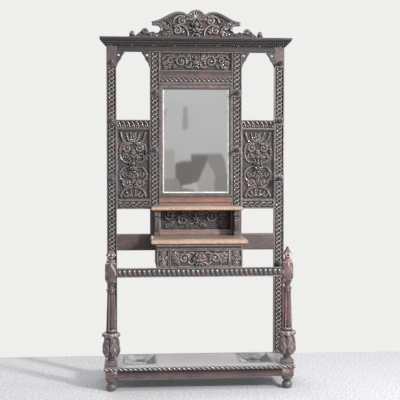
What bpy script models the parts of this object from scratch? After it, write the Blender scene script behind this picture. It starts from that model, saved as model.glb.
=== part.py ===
"""Carved oak hall tree: mirror, ledge, shelf with a drawer, turned coat pegs,
umbrella rail on two turned legs, and a plinth with two lift-out drip trays.

Units are metres. +Z is up, -Y is the front, and the origin is on the floor
under the middle of the whole piece.
"""

import math

import bmesh
import bpy
from mathutils import Matrix, Vector

# ---------------------------------------------------------------- dimensions
GAP = 0.0003                    # clearance left between touching pieces
EDGE = 0.0012                   # small chamfer on sawn boards
SLIVER = 0.0001                 # offset that keeps joined faces out of one plane
OVERCUT = 0.010                 # how far a cutter passes through the piece it cuts

# overall depth and the plane of the tall back frame
BACK = 0.200                    # back of the whole piece
FRAME_FRONT = 0.155             # front face of the four stiles
RAIL_SET_BACK = 0.003           # rails lie this far behind the stile faces
RAIL_DEPTH = 0.032
PANEL_SET_BACK = 0.008
PANEL_DEPTH = 0.018

# plinth
PLINTH_HALF_WIDTH = 0.5655
PLINTH_FRONT = -0.200
FOOT_HEIGHT = 0.0765
FOOT_RADIUS = 0.034
FOOT_FRONT_Y = -0.155
FRAME_LOW = 0.077               # underside of the plinth frame
BOARD_LOW = 0.1234
BOARD_TOP = 0.1436
APRON_INSET = 0.013
APRON_THICK = 0.020
CORNER_BLOCK = 0.068

# drip trays
TRAY_X = 0.349
TRAY_Y = 0.025
TRAY_SIZE = (0.204, 0.270)
TRAY_LIP = 0.010
TRAY_LIP_THICK = 0.0025
TRAY_DEPTH = 0.034
TRAY_SLOPE = 0.050              # how far the pan's walls lean in on their way down
TRAY_WALL = 0.002
TRAY_PLAY = 0.0015              # room between a pan and the hole in the board
PAN_STEP = 0.0005               # the pan starts this far under the lip's top

# front legs and umbrella rail
LEG_X = 0.5220
LEG_Y = -0.1455
LEG_BLOCK = 0.070
LEG_PLINTH_TOP = 0.1721
BLOCK_LOW = 0.6300
BLOCK_TOP = 0.7570
BLOCK_CHAMFER = 0.008
LEG_TOP = 0.8439
RAIL_LOW = 0.6705
RAIL_TOP = 0.7240
UMBRELLA_RAIL_FRONT = -0.179
UMBRELLA_RAIL_THICK = 0.0215
SIDE_RAIL_THICK = 0.022

# the four stiles
STILE_WIDTH = 0.060
OUTER_X = 0.520
INNER_X = 0.254
STILE_TOP = 2.0532
TOP_RAIL_LOW = 2.0217
BACK_RAIL = (0.7975, 0.8987)

# side panels between outer and inner stiles
SIDE_RAIL_HEIGHT = 0.0545
SIDE_LOW = 1.0534
SIDE_TOP = 1.6035

# middle bay, from the top down
FRIEZE_LOW = 1.9043
MIRROR_RAIL_LOW = 1.8368
MIRROR_RAIL_SLOPE = 1.8706      # where the weathered slope of the rail starts
GLASS_HALF_WIDTH = 0.2037
GLASS_LOW = 1.1520
GLASS_TOP = 1.7900
GLASS_THICK = 0.005
MIRROR_FRAME_LOW = 1.1334
MIRROR_FRAME_THICK = 0.012
LEDGE_RAIL_LOW = 1.0781
NICHE_LOW = 0.8990
NICHE_SLOPE = 0.9210
NICHE_SILL = 0.004              # upright edge under the slope

# upper ledge, pilasters, lower shelf
LEDGE_HALF_WIDTH = 0.2795
LEDGE = (1.0473, 1.0777)
LEDGE_REACH = 0.130             # how far it stands forward of the stiles
PILASTER_X = (0.2265, 0.2595)
PILASTER_REACH = 0.115
SHELF_HALF_WIDTH = 0.2850
SHELF = (0.8585, 0.8940)
SHELF_REACH = 0.330
LEDGE_EDGE = 0.004
SHELF_EDGE = 0.006

# drawer case
CASE_FRONT = -0.155
CASE_HALF_WIDTH = 0.2505
CASE_BLOCK_X = 0.1812
CASE_BLOCK_THICK = 0.025
CASE_SIDE_THICK = 0.018
CASE_BOTTOM = (0.7085, 0.7262)
CASE_RAIL_LOW = 0.8280
CASE_RAIL_HALF_WIDTH = 0.256
CASE_RAIL_FRONT = -0.165
CASE_RAIL_THICK = 0.030
GUIDE_WIDTH = 0.012
GUIDE_HEIGHT = 0.012
GUIDE_INSET = 0.002              # the guides stop this far short at both ends
GUIDE_SINK = 0.004               # and are let into the bottom by this much
DRAWER_PLAY = 0.001              # room between the drawer box and each guide
DRAWER_HALF_WIDTH = 0.1765
DRAWER_LOW = 0.7272
DRAWER_TOP = 0.8268
DRAWER_FRONT_THICK = 0.019
DRAWER_BOX_HALF_WIDTH = 0.172
DRAWER_BOX_TOP = 0.800
DRAWER_BOX_BACK = 0.125
DRAWER_WALL = 0.009
PULL_Z = 0.775

# cornice and crest
CORNICE_HALF_WIDTH = 0.590
CORNICE_FRONT = 0.097
CORNICE_BOARD = (2.0869, 2.1045)
CORNICE_FOOT_HALF_WIDTH = 0.554
CORNICE_FOOT_FRONT = 0.150
CORNICE_SET_BACK = 0.005         # the cornice stops short of the back by this much
CORNICE_STEP = 0.005             # the moulding lies this far in from the board's edge
CREST_FRONT = 0.119
CREST_THICK = 0.032
NOTCH = (0.2451, 2.1561, 0.0230)      # x, z and radius of the round notch
KNOB = (0.3934, 2.1290, 0.0155)       # x, z and radius of the end knob
MASK_RADIUS = 0.030
MASK_Z = 2.168
SCROLL = (0.3130, 2.1380, 0.0235)     # x, z and radius of the side scroll
NECK_END = (0.2733, 2.2030)           # square end of the swan neck
NECK_PEAK = (0.1048, 2.2633)          # its highest point
SHELL = (2.2150, 0.0595)              # z and radius of the shell in the middle

# corner brackets
BRACKET_WIDTH = 0.0495
BRACKET_HEIGHT = 0.0965
BRACKET_THICK = 0.018
BRACKET_HOLE = 0.007
BRACKET_HOLE_AT = (0.0155, 0.0207)    # in from the stile and down from the rail
BRACKET_TOE = 0.010              # squared ends of the sloping edge
BRACKET_SAG = 0.0025

# turned coat pegs: heights of the outer and the inner rows
OUTER_PEG_Z = (1.2400, 1.5955, 1.9520)
INNER_PEG_Z = (1.4170, 1.7695)
PEG_LENGTH = 0.085
PEG_HEAD = 0.0165

# facets round turned pieces
LEG_STEPS = 24
FOOT_STEPS = 20
PEG_STEPS = 16

NAME = "hall_tree"


# ------------------------------------------------------------------- helpers
def clear_scene():
    for item in list(bpy.data.objects):
        bpy.data.objects.remove(item, do_unlink=True)


def new_collection(name):
    collection = bpy.data.collections.new(name)
    bpy.context.scene.collection.children.link(collection)
    return collection


def material(name, colour, roughness, metallic=0.0):
    mat = bpy.data.materials.new(name)
    mat.use_nodes = True
    shader = mat.node_tree.nodes["Principled BSDF"]
    shader.inputs["Base Color"].default_value = (*colour, 1.0)
    shader.inputs["Roughness"].default_value = roughness
    shader.inputs["Metallic"].default_value = metallic
    mat.diffuse_color = (*colour, 1.0)
    return mat


def add_object(name, mesh, mat):
    """Put a mesh in the model's collection under its own name."""
    obj = bpy.data.objects.new(name, mesh)
    mesh.materials.clear()
    mesh.materials.append(mat)
    MODEL.objects.link(obj)
    return obj


def as_cutter(obj):
    """Move an object to the cutters, where it is a guide and not a part."""
    MODEL.objects.unlink(obj)
    CUTTERS.objects.link(obj)
    obj.hide_render = True
    obj.display_type = "WIRE"
    return obj


def box_mesh(name, low, high):
    """A box given by its two corners, about its own centre."""
    low = Vector(low)
    high = Vector(high)
    size = high - low
    bm = bmesh.new()
    bmesh.ops.create_cube(bm, size=1.0, matrix=Matrix.Diagonal((*size, 1.0)))
    mesh = bpy.data.meshes.new(name)
    bm.to_mesh(mesh)
    bm.free()
    return mesh, (low + high) / 2


def box(name, low, high, mat, edge=EDGE):
    """A board between two corners, its edges eased by a small chamfer."""
    mesh, centre = box_mesh(name, low, high)
    obj = add_object(name, mesh, mat)
    obj.location = centre
    if edge:
        bevel = obj.modifiers.new("eased_edges", "BEVEL")
        bevel.width = edge
        bevel.segments = 1
    return obj


def boolean(obj, other, operation):
    """Cut or join with another object, which becomes a hidden guide."""
    modifier = obj.modifiers.new(other.name, "BOOLEAN")
    modifier.operation = operation
    modifier.solver = "EXACT"
    modifier.object = as_cutter(other)


def outline_mesh(name, points, thickness):
    """Extrude a closed flat outline, drawn in X and Z, along Y."""
    curve = bpy.data.curves.new(name, "CURVE")
    curve.dimensions = "2D"
    curve.fill_mode = "BOTH"
    curve.extrude = thickness / 2
    spline = curve.splines.new("POLY")
    spline.points.add(len(points) - 1)
    for point, (x, z) in zip(spline.points, points):
        point.co = (x, z, 0.0, 1.0)
    spline.use_cyclic_u = True
    drawing = bpy.data.objects.new(name + "_outline", curve)
    MODEL.objects.link(drawing)
    bpy.context.view_layer.update()
    depsgraph = bpy.context.evaluated_depsgraph_get()
    mesh = bpy.data.meshes.new_from_object(drawing.evaluated_get(depsgraph))
    mesh.name = name
    bpy.data.objects.remove(drawing)
    bpy.data.curves.remove(curve)
    bm = bmesh.new()
    bm.from_mesh(mesh)
    bmesh.ops.remove_doubles(bm, verts=bm.verts, dist=0.00001)
    bmesh.ops.rotate(bm, verts=bm.verts, cent=(0, 0, 0), matrix=Matrix.Rotation(math.pi / 2, 3, "X"))
    bmesh.ops.recalc_face_normals(bm, faces=bm.faces)
    bm.to_mesh(mesh)
    bm.free()
    return mesh


def side_profile_mesh(name, points, width):
    """Extrude a closed outline, drawn in Y and Z, along X."""
    mesh = outline_mesh(name, points, width)
    mesh.transform(Matrix.Rotation(math.pi / 2, 4, "Z"))
    return mesh


def turned_mesh(name, profile, steps):
    """Turn a profile of (radius, z) points, listed from top to bottom, about Z."""
    mesh = bpy.data.meshes.new(name)
    points = [(0.0, 0.0, profile[0][1])]
    points += [(radius, 0.0, z) for radius, z in profile]
    points += [(0.0, 0.0, profile[-1][1])]
    edges = [(i, i + 1) for i in range(len(points) - 1)]
    mesh.from_pydata(points, edges, [])
    blank = bpy.data.objects.new(name + "_profile", mesh)
    MODEL.objects.link(blank)
    screw = blank.modifiers.new("lathe", "SCREW")
    screw.axis = "Z"
    screw.steps = steps
    screw.render_steps = steps
    screw.use_merge_vertices = True
    screw.merge_threshold = 0.00005
    bpy.context.view_layer.update()
    depsgraph = bpy.context.evaluated_depsgraph_get()
    turned = bpy.data.meshes.new_from_object(blank.evaluated_get(depsgraph))
    turned.name = name
    bpy.data.objects.remove(blank)
    bpy.data.meshes.remove(mesh)
    turned.shade_smooth()
    turned.set_sharp_from_angle(angle=math.radians(35))
    return turned


def arc(cx, cz, radius, start, end, count):
    """Points along a circular arc; the angles are in degrees."""
    points = []
    for i in range(count + 1):
        angle = math.radians(start + (end - start) * i / count)
        points.append((cx + radius * math.cos(angle), cz + radius * math.sin(angle)))
    return points


# --------------------------------------------------------------------- parts
def build_feet():
    """Turned bun feet with a flaring cup, one under each corner block."""
    profile = [
        (FOOT_RADIUS, FOOT_HEIGHT),
        (FOOT_RADIUS, 0.0700),
        (0.0320, 0.0610),
        (0.0260, 0.0530),
        (0.0200, 0.0470),
        (0.0190, 0.0435),
        (0.0240, 0.0400),
        (0.0285, 0.0330),
        (0.0300, 0.0230),
        (0.0290, 0.0130),
        (0.0250, 0.0050),
        (0.0205, 0.0000),
    ]
    mesh = turned_mesh("foot", profile, FOOT_STEPS)
    for side, x in (("left", -LEG_X), ("right", LEG_X)):
        for row, y in (("front", FOOT_FRONT_Y), ("rear", BACK - CORNER_BLOCK / 2)):
            foot = add_object(f"foot_{row}_{side}", mesh.copy(), OAK)
            foot.location = (x, y, 0.0)


def build_plinth():
    """The frame under the plinth board, the board, and its two drip trays."""
    half = PLINTH_HALF_WIDTH - APRON_INSET
    front = PLINTH_FRONT + APRON_INSET
    back = BACK - RAIL_SET_BACK
    top = BOARD_LOW - GAP
    frame = box("plinth_frame", (-half, front, FRAME_LOW), (half, back, top), OAK, edge=0)
    thick = APRON_THICK
    hollow = box(
        "plinth_hollow",
        (-half + thick, front + thick, FRAME_LOW - OVERCUT),
        (half - thick, back - thick, top + OVERCUT),
        OAK,
        edge=0,
    )
    boolean(frame, hollow, "DIFFERENCE")
    reach = CORNER_BLOCK / 2
    for side, x in (("left", -LEG_X), ("right", LEG_X)):
        for row, y in (("front", FOOT_FRONT_Y), ("rear", BACK - reach)):
            back_sliver = SLIVER if row == "rear" else 0.0
            low = (x - reach, y - reach, FRAME_LOW - SLIVER)
            high = (x + reach, y + reach - back_sliver, top - SLIVER)
            block = box(f"plinth_block_{row}_{side}", low, high, OAK, edge=0)
            boolean(frame, block, "UNION")

    board = box(
        "plinth_board",
        (-PLINTH_HALF_WIDTH, PLINTH_FRONT, BOARD_LOW),
        (PLINTH_HALF_WIDTH, BACK, BOARD_TOP),
        OAK,
        edge=0,
    )
    for side, x in (("left", -TRAY_X), ("right", TRAY_X)):
        half_x = TRAY_SIZE[0] / 2 - TRAY_LIP
        half_y = TRAY_SIZE[1] / 2 - TRAY_LIP
        cutter = box(
            f"tray_cut_{side}",
            (x - half_x, TRAY_Y - half_y, BOARD_LOW - OVERCUT),
            (x + half_x, TRAY_Y + half_y, BOARD_TOP + OVERCUT),
            OAK,
            edge=0,
        )
        boolean(board, cutter, "DIFFERENCE")
        build_tray(side, x, half_x - TRAY_PLAY, half_y - TRAY_PLAY)


def build_tray(side, x, half_x, half_y):
    """A pressed metal pan whose lip rests on the board."""
    lip_low = BOARD_TOP + GAP
    lip_top = lip_low + TRAY_LIP_THICK
    pan_low = lip_top - TRAY_DEPTH
    holder = bpy.data.objects.new(f"tray_{side}_origin", None)
    MODEL.objects.link(holder)
    holder.location = (x, TRAY_Y, lip_low)
    outer_x = TRAY_SIZE[0] / 2
    outer_y = TRAY_SIZE[1] / 2
    tray = box(
        f"drip_tray_{side}",
        (x - outer_x, TRAY_Y - outer_y, lip_low),
        (x + outer_x, TRAY_Y + outer_y, lip_top),
        ZINC,
        edge=0,
    )
    pan_top = lip_top - PAN_STEP
    lean = TRAY_SLOPE / (pan_top - pan_low)
    wall_x = half_x - 2 * TRAY_WALL
    wall_y = half_y - 2 * TRAY_WALL
    cuts = (
        ("pan", "UNION", half_x, half_y, pan_low, pan_top),
        ("pan_hollow", "DIFFERENCE", wall_x, wall_y, pan_low + TRAY_WALL, lip_top + TRAY_WALL),
    )
    for name, operation, top_x, top_y, low, top in cuts:
        low_corner = (x - top_x, TRAY_Y - top_y, low)
        high_corner = (x + top_x, TRAY_Y + top_y, top)
        piece = box(f"{name}_{side}", low_corner, high_corner, ZINC, edge=0)
        for vertex in piece.data.vertices:
            if vertex.co.z < 0:
                vertex.co.x -= math.copysign(lean * (top - low), vertex.co.x)
                vertex.co.y -= math.copysign(lean * (top - low), vertex.co.y)
        boolean(tray, piece, operation)
    tray.parent = holder
    tray.matrix_parent_inverse = Matrix.Translation(-holder.location)


def build_legs():
    """Turned front legs: plinth, bulb, tapering column, square block, finial."""
    profile = [
        (0.0080, LEG_TOP),
        (0.0095, 0.8350),
        (0.0140, 0.8220),
        (0.0250, 0.8080),
        (0.0290, 0.7990),
        (0.0150, 0.7940),
        (0.0155, 0.7810),
        (0.0130, 0.7720),
        (0.0260, 0.7690),
        (0.0270, 0.7620),
        (0.0250, 0.7580),
        (0.0240, 0.6270),
        (0.0185, 0.6220),
        (0.0175, 0.6080),
        (0.0260, 0.6010),
        (0.0265, 0.5930),
        (0.0222, 0.5860),
        (0.0258, 0.4800),
        (0.0295, 0.3420),
        (0.0516, 0.3370),
        (0.0520, 0.3230),
        (0.0480, 0.3120),
        (0.0500, 0.2900),
        (0.0540, 0.2550),
        (0.0545, 0.2380),
        (0.0500, 0.2180),
        (0.0360, 0.2010),
        (0.0180, 0.1930),
        (0.0200, 0.1870),
        (0.0300, 0.1820),
        (0.0310, 0.1700),
        (0.0290, 0.1600),
    ]
    mesh = turned_mesh("leg", profile, LEG_STEPS)
    half = LEG_BLOCK / 2
    for side, x in (("left", -LEG_X), ("right", LEG_X)):
        leg = add_object(f"front_leg_{side}", mesh.copy(), OAK)
        leg.location = (x, LEG_Y, 0.0)
        pieces = (
            ("leg_plinth", BOARD_TOP + GAP, LEG_PLINTH_TOP),
            ("leg_block", BLOCK_LOW, BLOCK_TOP),
        )
        for name, low, top in pieces:
            block = box(
                f"{name}_{side}",
                (x - half, LEG_Y - half, low),
                (x + half, LEG_Y + half, top),
                OAK,
                edge=BLOCK_CHAMFER if name == "leg_block" else EDGE,
            )
            boolean(leg, block, "UNION")


def build_umbrella_rails():
    """The front rail between the legs, and a side rail back to each stile."""
    reach = LEG_X - LEG_BLOCK / 2 - GAP
    box(
        "umbrella_rail_front",
        (-reach, UMBRELLA_RAIL_FRONT, RAIL_LOW),
        (reach, UMBRELLA_RAIL_FRONT + UMBRELLA_RAIL_THICK, RAIL_TOP),
        OAK,
    )
    half = SIDE_RAIL_THICK / 2
    for side, x in (("left", -OUTER_X), ("right", OUTER_X)):
        box(
            f"umbrella_rail_{side}",
            (x - half, LEG_Y + LEG_BLOCK / 2 + GAP, RAIL_LOW),
            (x + half, FRAME_FRONT - GAP, RAIL_TOP),
            OAK,
        )


def build_back_frame():
    """Four stiles with the rails that tie them together."""
    half = STILE_WIDTH / 2
    for side, sign in (("left", -1), ("right", 1)):
        x = sign * OUTER_X
        low = (x - half, FRAME_FRONT, BOARD_TOP + GAP)
        box(f"stile_outer_{side}", low, (x + half, BACK, STILE_TOP), OAK)
        x = sign * INNER_X
        low = (x - half, FRAME_FRONT, BACK_RAIL[1] + GAP)
        box(f"stile_inner_{side}", low, (x + half, BACK, TOP_RAIL_LOW - GAP), OAK)

    reach = OUTER_X - half - GAP
    rail_front = FRAME_FRONT + RAIL_SET_BACK
    rail_back = rail_front + RAIL_DEPTH
    box("top_rail", (-reach, rail_front, TOP_RAIL_LOW), (reach, rail_back, STILE_TOP), OAK)
    box("back_rail", (-reach, FRAME_FRONT, BACK_RAIL[0]), (reach, rail_back, BACK_RAIL[1]), OAK)


def build_side_panels():
    """A carved panel with a rail above and below it, on each side."""
    inner = INNER_X + STILE_WIDTH / 2 + GAP
    outer = OUTER_X - STILE_WIDTH / 2 - GAP
    rail_front = FRAME_FRONT + RAIL_SET_BACK
    rail_back = rail_front + RAIL_DEPTH
    panel_front = FRAME_FRONT + PANEL_SET_BACK
    panel_back = panel_front + PANEL_DEPTH
    low_rail_top = SIDE_LOW + SIDE_RAIL_HEIGHT
    top_rail_low = SIDE_TOP - SIDE_RAIL_HEIGHT
    for side, sign in (("left", -1), ("right", 1)):
        x_low = min(sign * inner, sign * outer)
        x_high = max(sign * inner, sign * outer)
        for row, low, top in (("low", SIDE_LOW, low_rail_top), ("top", top_rail_low, SIDE_TOP)):
            box(f"panel_rail_{row}_{side}", (x_low, rail_front, low), (x_high, rail_back, top), OAK)
        box(
            f"side_panel_{side}",
            (x_low, panel_front, low_rail_top + GAP),
            (x_high, panel_back, top_rail_low - GAP),
            OAK,
        )


def sloped_rail(name, low, top, slope_start, front, slope_depth, depth):
    """A rail across the middle bay whose upper front is planed to a slope."""
    half = INNER_X - STILE_WIDTH / 2 - GAP
    points = [
        (front, low),
        (front + depth, low),
        (front + depth, top),
        (front + slope_depth, top),
        (front, slope_start),
    ]
    return add_object(name, side_profile_mesh(name, points, 2 * half), OAK)


def build_middle_bay():
    """Frieze panel, mirror in its frame, ledge rail and niche panel."""
    half = INNER_X - STILE_WIDTH / 2 - GAP
    panel_front = FRAME_FRONT + PANEL_SET_BACK
    panel_back = panel_front + PANEL_DEPTH
    rail_back = FRAME_FRONT + RAIL_SET_BACK + RAIL_DEPTH
    box(
        "frieze_panel",
        (-half, panel_front, FRIEZE_LOW + GAP),
        (half, panel_back, TOP_RAIL_LOW - GAP),
        OAK,
    )
    sloped_rail(
        "mirror_top_rail",
        MIRROR_RAIL_LOW + GAP,
        FRIEZE_LOW,
        MIRROR_RAIL_SLOPE,
        FRAME_FRONT,
        PANEL_SET_BACK,
        rail_back - FRAME_FRONT,
    )

    frame_back = FRAME_FRONT + MIRROR_FRAME_THICK
    frame = box(
        "mirror_frame",
        (-half, FRAME_FRONT, MIRROR_FRAME_LOW),
        (half, frame_back, MIRROR_RAIL_LOW),
        OAK,
        edge=0,
    )
    sight = box(
        "mirror_sight",
        (-GLASS_HALF_WIDTH, FRAME_FRONT - OVERCUT, GLASS_LOW),
        (GLASS_HALF_WIDTH, frame_back + OVERCUT, GLASS_TOP),
        OAK,
        edge=0,
    )
    boolean(frame, sight, "DIFFERENCE")
    glass_back = frame_back + GAP + GLASS_THICK
    box(
        "mirror_glass",
        (-half, frame_back + GAP, MIRROR_FRAME_LOW),
        (half, glass_back, MIRROR_RAIL_LOW),
        SILVER,
        edge=0,
    )
    box(
        "mirror_backboard",
        (-half, glass_back + GAP, MIRROR_FRAME_LOW),
        (half, rail_back, MIRROR_RAIL_LOW),
        DEAL,
    )
    box(
        "ledge_rail",
        (-half, FRAME_FRONT, LEDGE_RAIL_LOW),
        (half, rail_back, MIRROR_FRAME_LOW - GAP),
        OAK,
    )
    niche_depth = panel_back - FRAME_FRONT
    niche = sloped_rail(
        "niche_panel",
        NICHE_LOW,
        LEDGE_RAIL_LOW - GAP,
        NICHE_LOW + NICHE_SILL,
        FRAME_FRONT,
        PANEL_SET_BACK,
        niche_depth,
    )
    face_cut = box(
        "niche_face_cut",
        (-half - OVERCUT, FRAME_FRONT - OVERCUT, NICHE_SLOPE),
        (half + OVERCUT, panel_front, LEDGE_RAIL_LOW + OVERCUT),
        OAK,
        edge=0,
    )
    boolean(niche, face_cut, "DIFFERENCE")


def build_ledge_and_shelf():
    """The upper ledge on two pilasters, and the deeper shelf under them."""
    back = FRAME_FRONT - GAP
    box(
        "upper_ledge",
        (-LEDGE_HALF_WIDTH, FRAME_FRONT - LEDGE_REACH, LEDGE[0]),
        (LEDGE_HALF_WIDTH, back, LEDGE[1]),
        WORN_OAK,
        edge=LEDGE_EDGE,
    )
    box(
        "lower_shelf",
        (-SHELF_HALF_WIDTH, FRAME_FRONT - SHELF_REACH, SHELF[0]),
        (SHELF_HALF_WIDTH, back, SHELF[1]),
        WORN_OAK,
        edge=SHELF_EDGE,
    )
    near, far = PILASTER_X
    for side, low_x, high_x in (("left", -far, -near), ("right", near, far)):
        box(
            f"pilaster_{side}",
            (low_x, FRAME_FRONT - PILASTER_REACH, SHELF[1] + GAP),
            (high_x, back, LEDGE[0] - GAP),
            OAK,
        )


def build_drawer_case():
    """Bottom with guides, two sides with carved blocks, and the rail on top."""
    back = FRAME_FRONT - GAP
    bottom = box(
        "case_bottom",
        (-CASE_HALF_WIDTH, CASE_FRONT, CASE_BOTTOM[0]),
        (CASE_HALF_WIDTH, back, CASE_BOTTOM[1]),
        OAK,
        edge=0,
    )
    inner = DRAWER_BOX_HALF_WIDTH + DRAWER_PLAY
    block_back = CASE_FRONT + CASE_BLOCK_THICK
    for side, sign in (("left", -1), ("right", 1)):
        guide_x = sorted((sign * inner, sign * (inner + GUIDE_WIDTH)))
        guide = box(
            f"guide_{side}",
            (guide_x[0], block_back + GUIDE_INSET, CASE_BOTTOM[1] - GUIDE_SINK),
            (guide_x[1], back - GUIDE_INSET, CASE_BOTTOM[1] + GUIDE_HEIGHT),
            OAK,
            edge=0,
        )
        boolean(bottom, guide, "UNION")

        low_z = CASE_BOTTOM[1] + GAP
        board_x = sorted((sign * (CASE_HALF_WIDTH - CASE_SIDE_THICK), sign * CASE_HALF_WIDTH))
        rail_back = CASE_RAIL_FRONT + CASE_RAIL_THICK
        board = box(
            f"case_side_{side}",
            (board_x[0], rail_back + GAP, low_z),
            (board_x[1], back, SHELF[0] - GAP),
            OAK,
            edge=0,
        )
        block_x = sorted((sign * CASE_BLOCK_X, sign * (CASE_HALF_WIDTH + SLIVER)))
        block = box(
            f"case_block_{side}",
            (block_x[0], CASE_FRONT, low_z + SLIVER),
            (block_x[1], block_back, CASE_RAIL_LOW - GAP),
            OAK,
            edge=0,
        )
        boolean(board, block, "UNION")

    box(
        "case_rail",
        (-CASE_RAIL_HALF_WIDTH, CASE_RAIL_FRONT, CASE_RAIL_LOW),
        (CASE_RAIL_HALF_WIDTH, CASE_RAIL_FRONT + CASE_RAIL_THICK, SHELF[0] - GAP),
        OAK,
    )


def build_drawer():
    """Drawer front, box and mask pull, on an origin at the drawer's mouth."""
    holder = bpy.data.objects.new("drawer_origin", None)
    MODEL.objects.link(holder)
    holder.location = (0.0, CASE_FRONT, DRAWER_LOW)
    front_back = CASE_FRONT + DRAWER_FRONT_THICK
    front = box(
        "drawer_front",
        (-DRAWER_HALF_WIDTH, CASE_FRONT, DRAWER_LOW),
        (DRAWER_HALF_WIDTH, front_back, DRAWER_TOP),
        OAK,
    )
    half = DRAWER_BOX_HALF_WIDTH
    tray = box(
        "drawer_box",
        (-half, front_back + GAP, DRAWER_LOW),
        (half, DRAWER_BOX_BACK, DRAWER_BOX_TOP),
        DEAL,
        edge=0,
    )
    hollow = box(
        "drawer_hollow",
        (-half + DRAWER_WALL, front_back + DRAWER_WALL, DRAWER_LOW + DRAWER_WALL),
        (half - DRAWER_WALL, DRAWER_BOX_BACK - DRAWER_WALL, DRAWER_BOX_TOP + OVERCUT),
        DEAL,
        edge=0,
    )
    boolean(tray, hollow, "DIFFERENCE")
    profile = [
        (0.0080, 0.0300),
        (0.0240, 0.0260),
        (0.0330, 0.0170),
        (0.0360, 0.0080),
        (0.0300, 0.0000),
    ]
    pull = add_object("drawer_pull", turned_mesh("drawer_pull", profile, PEG_STEPS), OAK)
    pull.rotation_euler = (math.pi / 2, 0.0, 0.0)
    pull.location = (0.0, CASE_FRONT - GAP, PULL_Z)
    for piece in (front, tray, pull):
        piece.parent = holder
        piece.matrix_parent_inverse = Matrix.Translation(-holder.location)


def build_cornice():
    """The cornice board and the splayed moulding under it."""
    board_back = BACK - CORNICE_SET_BACK
    box(
        "cornice_board",
        (-CORNICE_HALF_WIDTH, CORNICE_FRONT, CORNICE_BOARD[0]),
        (CORNICE_HALF_WIDTH, board_back, CORNICE_BOARD[1]),
        OAK,
    )
    low_z = STILE_TOP + GAP
    mesh, centre = box_mesh(
        "cornice_moulding",
        (-CORNICE_HALF_WIDTH + CORNICE_STEP, CORNICE_FRONT + CORNICE_STEP, low_z),
        (CORNICE_HALF_WIDTH - CORNICE_STEP, board_back, CORNICE_BOARD[0] - GAP),
    )
    foot_x = CORNICE_FOOT_HALF_WIDTH
    foot_y = CORNICE_FOOT_FRONT - centre.y
    for vertex in mesh.vertices:
        if vertex.co.z < 0:
            vertex.co.x = math.copysign(foot_x, vertex.co.x)
            if vertex.co.y < 0:
                vertex.co.y = foot_y
    moulding = add_object("cornice_moulding", mesh, OAK)
    moulding.location = centre


def crest_half_outline(base_z):
    """The right half of the crest, from the bottom outwards and up to the top."""
    knob_x, knob_z, knob_r = KNOB
    notch_x, notch_z, notch_r = NOTCH
    scroll_x, scroll_z, scroll_r = SCROLL
    shell_z, shell_r = SHELL
    start_x, start_z = NECK_END
    end_x, end_z = NECK_PEAK
    points = [(knob_x + 0.023, base_z), (knob_x + 0.016, base_z + 0.010)]
    points += arc(knob_x, knob_z, knob_r, -20, 200, 9)
    points += [(knob_x - 0.0194, base_z + 0.010), (knob_x - 0.0314, base_z + 0.019)]
    points += arc(scroll_x, scroll_z, scroll_r, 20, 150, 7)
    points += [(scroll_x - 0.0230, base_z + 0.030)]
    points += arc(notch_x, notch_z, notch_r, -40, -290, 12)
    points += [(start_x, start_z - 0.0220), (start_x, start_z)]
    # the swan neck rises along a smooth step to its shoulder
    for i in range(1, 11):
        t = i / 10
        rise = 0.5 - 0.5 * math.cos(math.pi * t)
        points.append((start_x + (end_x - start_x) * t, start_z + (end_z - start_z) * rise))
    points += [(end_x - 0.0248, end_z - 0.0033), (end_x - 0.0468, end_z - 0.0153)]
    points += arc(0.0, shell_z, shell_r, 34, 90, 7)
    return points


def build_crest():
    """Swan-neck crest board with the boss of its mask."""
    base_z = CORNICE_BOARD[1] + GAP
    right = crest_half_outline(base_z)
    left = [(-x, z) for x, z in reversed(right[:-1])]
    crest = add_object("crest_board", outline_mesh("crest_board", right + left, CREST_THICK), OAK)
    crest.location = (0.0, CREST_FRONT + CREST_THICK / 2, 0.0)
    profile = [
        (0.0100, 0.0240),
        (0.0220, 0.0200),
        (MASK_RADIUS, 0.0080),
        (MASK_RADIUS, -0.0100),
    ]
    mask = add_object("crest_mask_boss", turned_mesh("crest_mask_boss", profile, PEG_STEPS), OAK)
    mask.rotation_euler = (math.pi / 2, 0.0, 0.0)
    mask.location = (0.0, CREST_FRONT, MASK_Z)
    boolean(crest, mask, "UNION")


def bracket_outline(sign):
    """A corner bracket drawn from its corner; its sloping edge has two shallow hollows."""
    width = BRACKET_WIDTH
    height = BRACKET_HEIGHT
    toe = BRACKET_TOE
    points = [(0.0, 0.0), (width, 0.0), (width, -toe)]
    for i in range(1, 8):
        t = i / 8
        sag = BRACKET_SAG * abs(math.sin(2 * math.pi * t))
        x = width + (toe / 2 - width) * t - sag
        z = -toe + (2 * toe - height) * t + sag
        points.append((x, z))
    points += [(toe / 2, toe - height), (0.0, -height)]
    return [(sign * x, z) for x, z in points]


def build_brackets():
    """Pierced corner brackets under the top rail, beside each stile."""
    outer = OUTER_X - STILE_WIDTH / 2 - GAP
    inner = INNER_X + STILE_WIDTH / 2 + GAP
    places = (
        ("outer_left", -outer, 1),
        ("inner_left", -inner, -1),
        ("inner_right", inner, 1),
        ("outer_right", outer, -1),
    )
    y = FRAME_FRONT + RAIL_SET_BACK + BRACKET_THICK / 2
    for place, x, sign in places:
        name = f"bracket_{place}"
        bracket = add_object(name, outline_mesh(name, bracket_outline(sign), BRACKET_THICK), OAK)
        bracket.location = (x, y, TOP_RAIL_LOW - GAP)
        profile = [(BRACKET_HOLE, BRACKET_THICK), (BRACKET_HOLE, -BRACKET_THICK)]
        hole = add_object(f"hole_{place}", turned_mesh(f"hole_{place}", profile, PEG_STEPS), OAK)
        hole.rotation_euler = (math.pi / 2, 0.0, 0.0)
        hole_in, hole_down = BRACKET_HOLE_AT
        hole.location = (x + sign * hole_in, y, TOP_RAIL_LOW - GAP - hole_down)
        boolean(bracket, hole, "DIFFERENCE")


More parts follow.
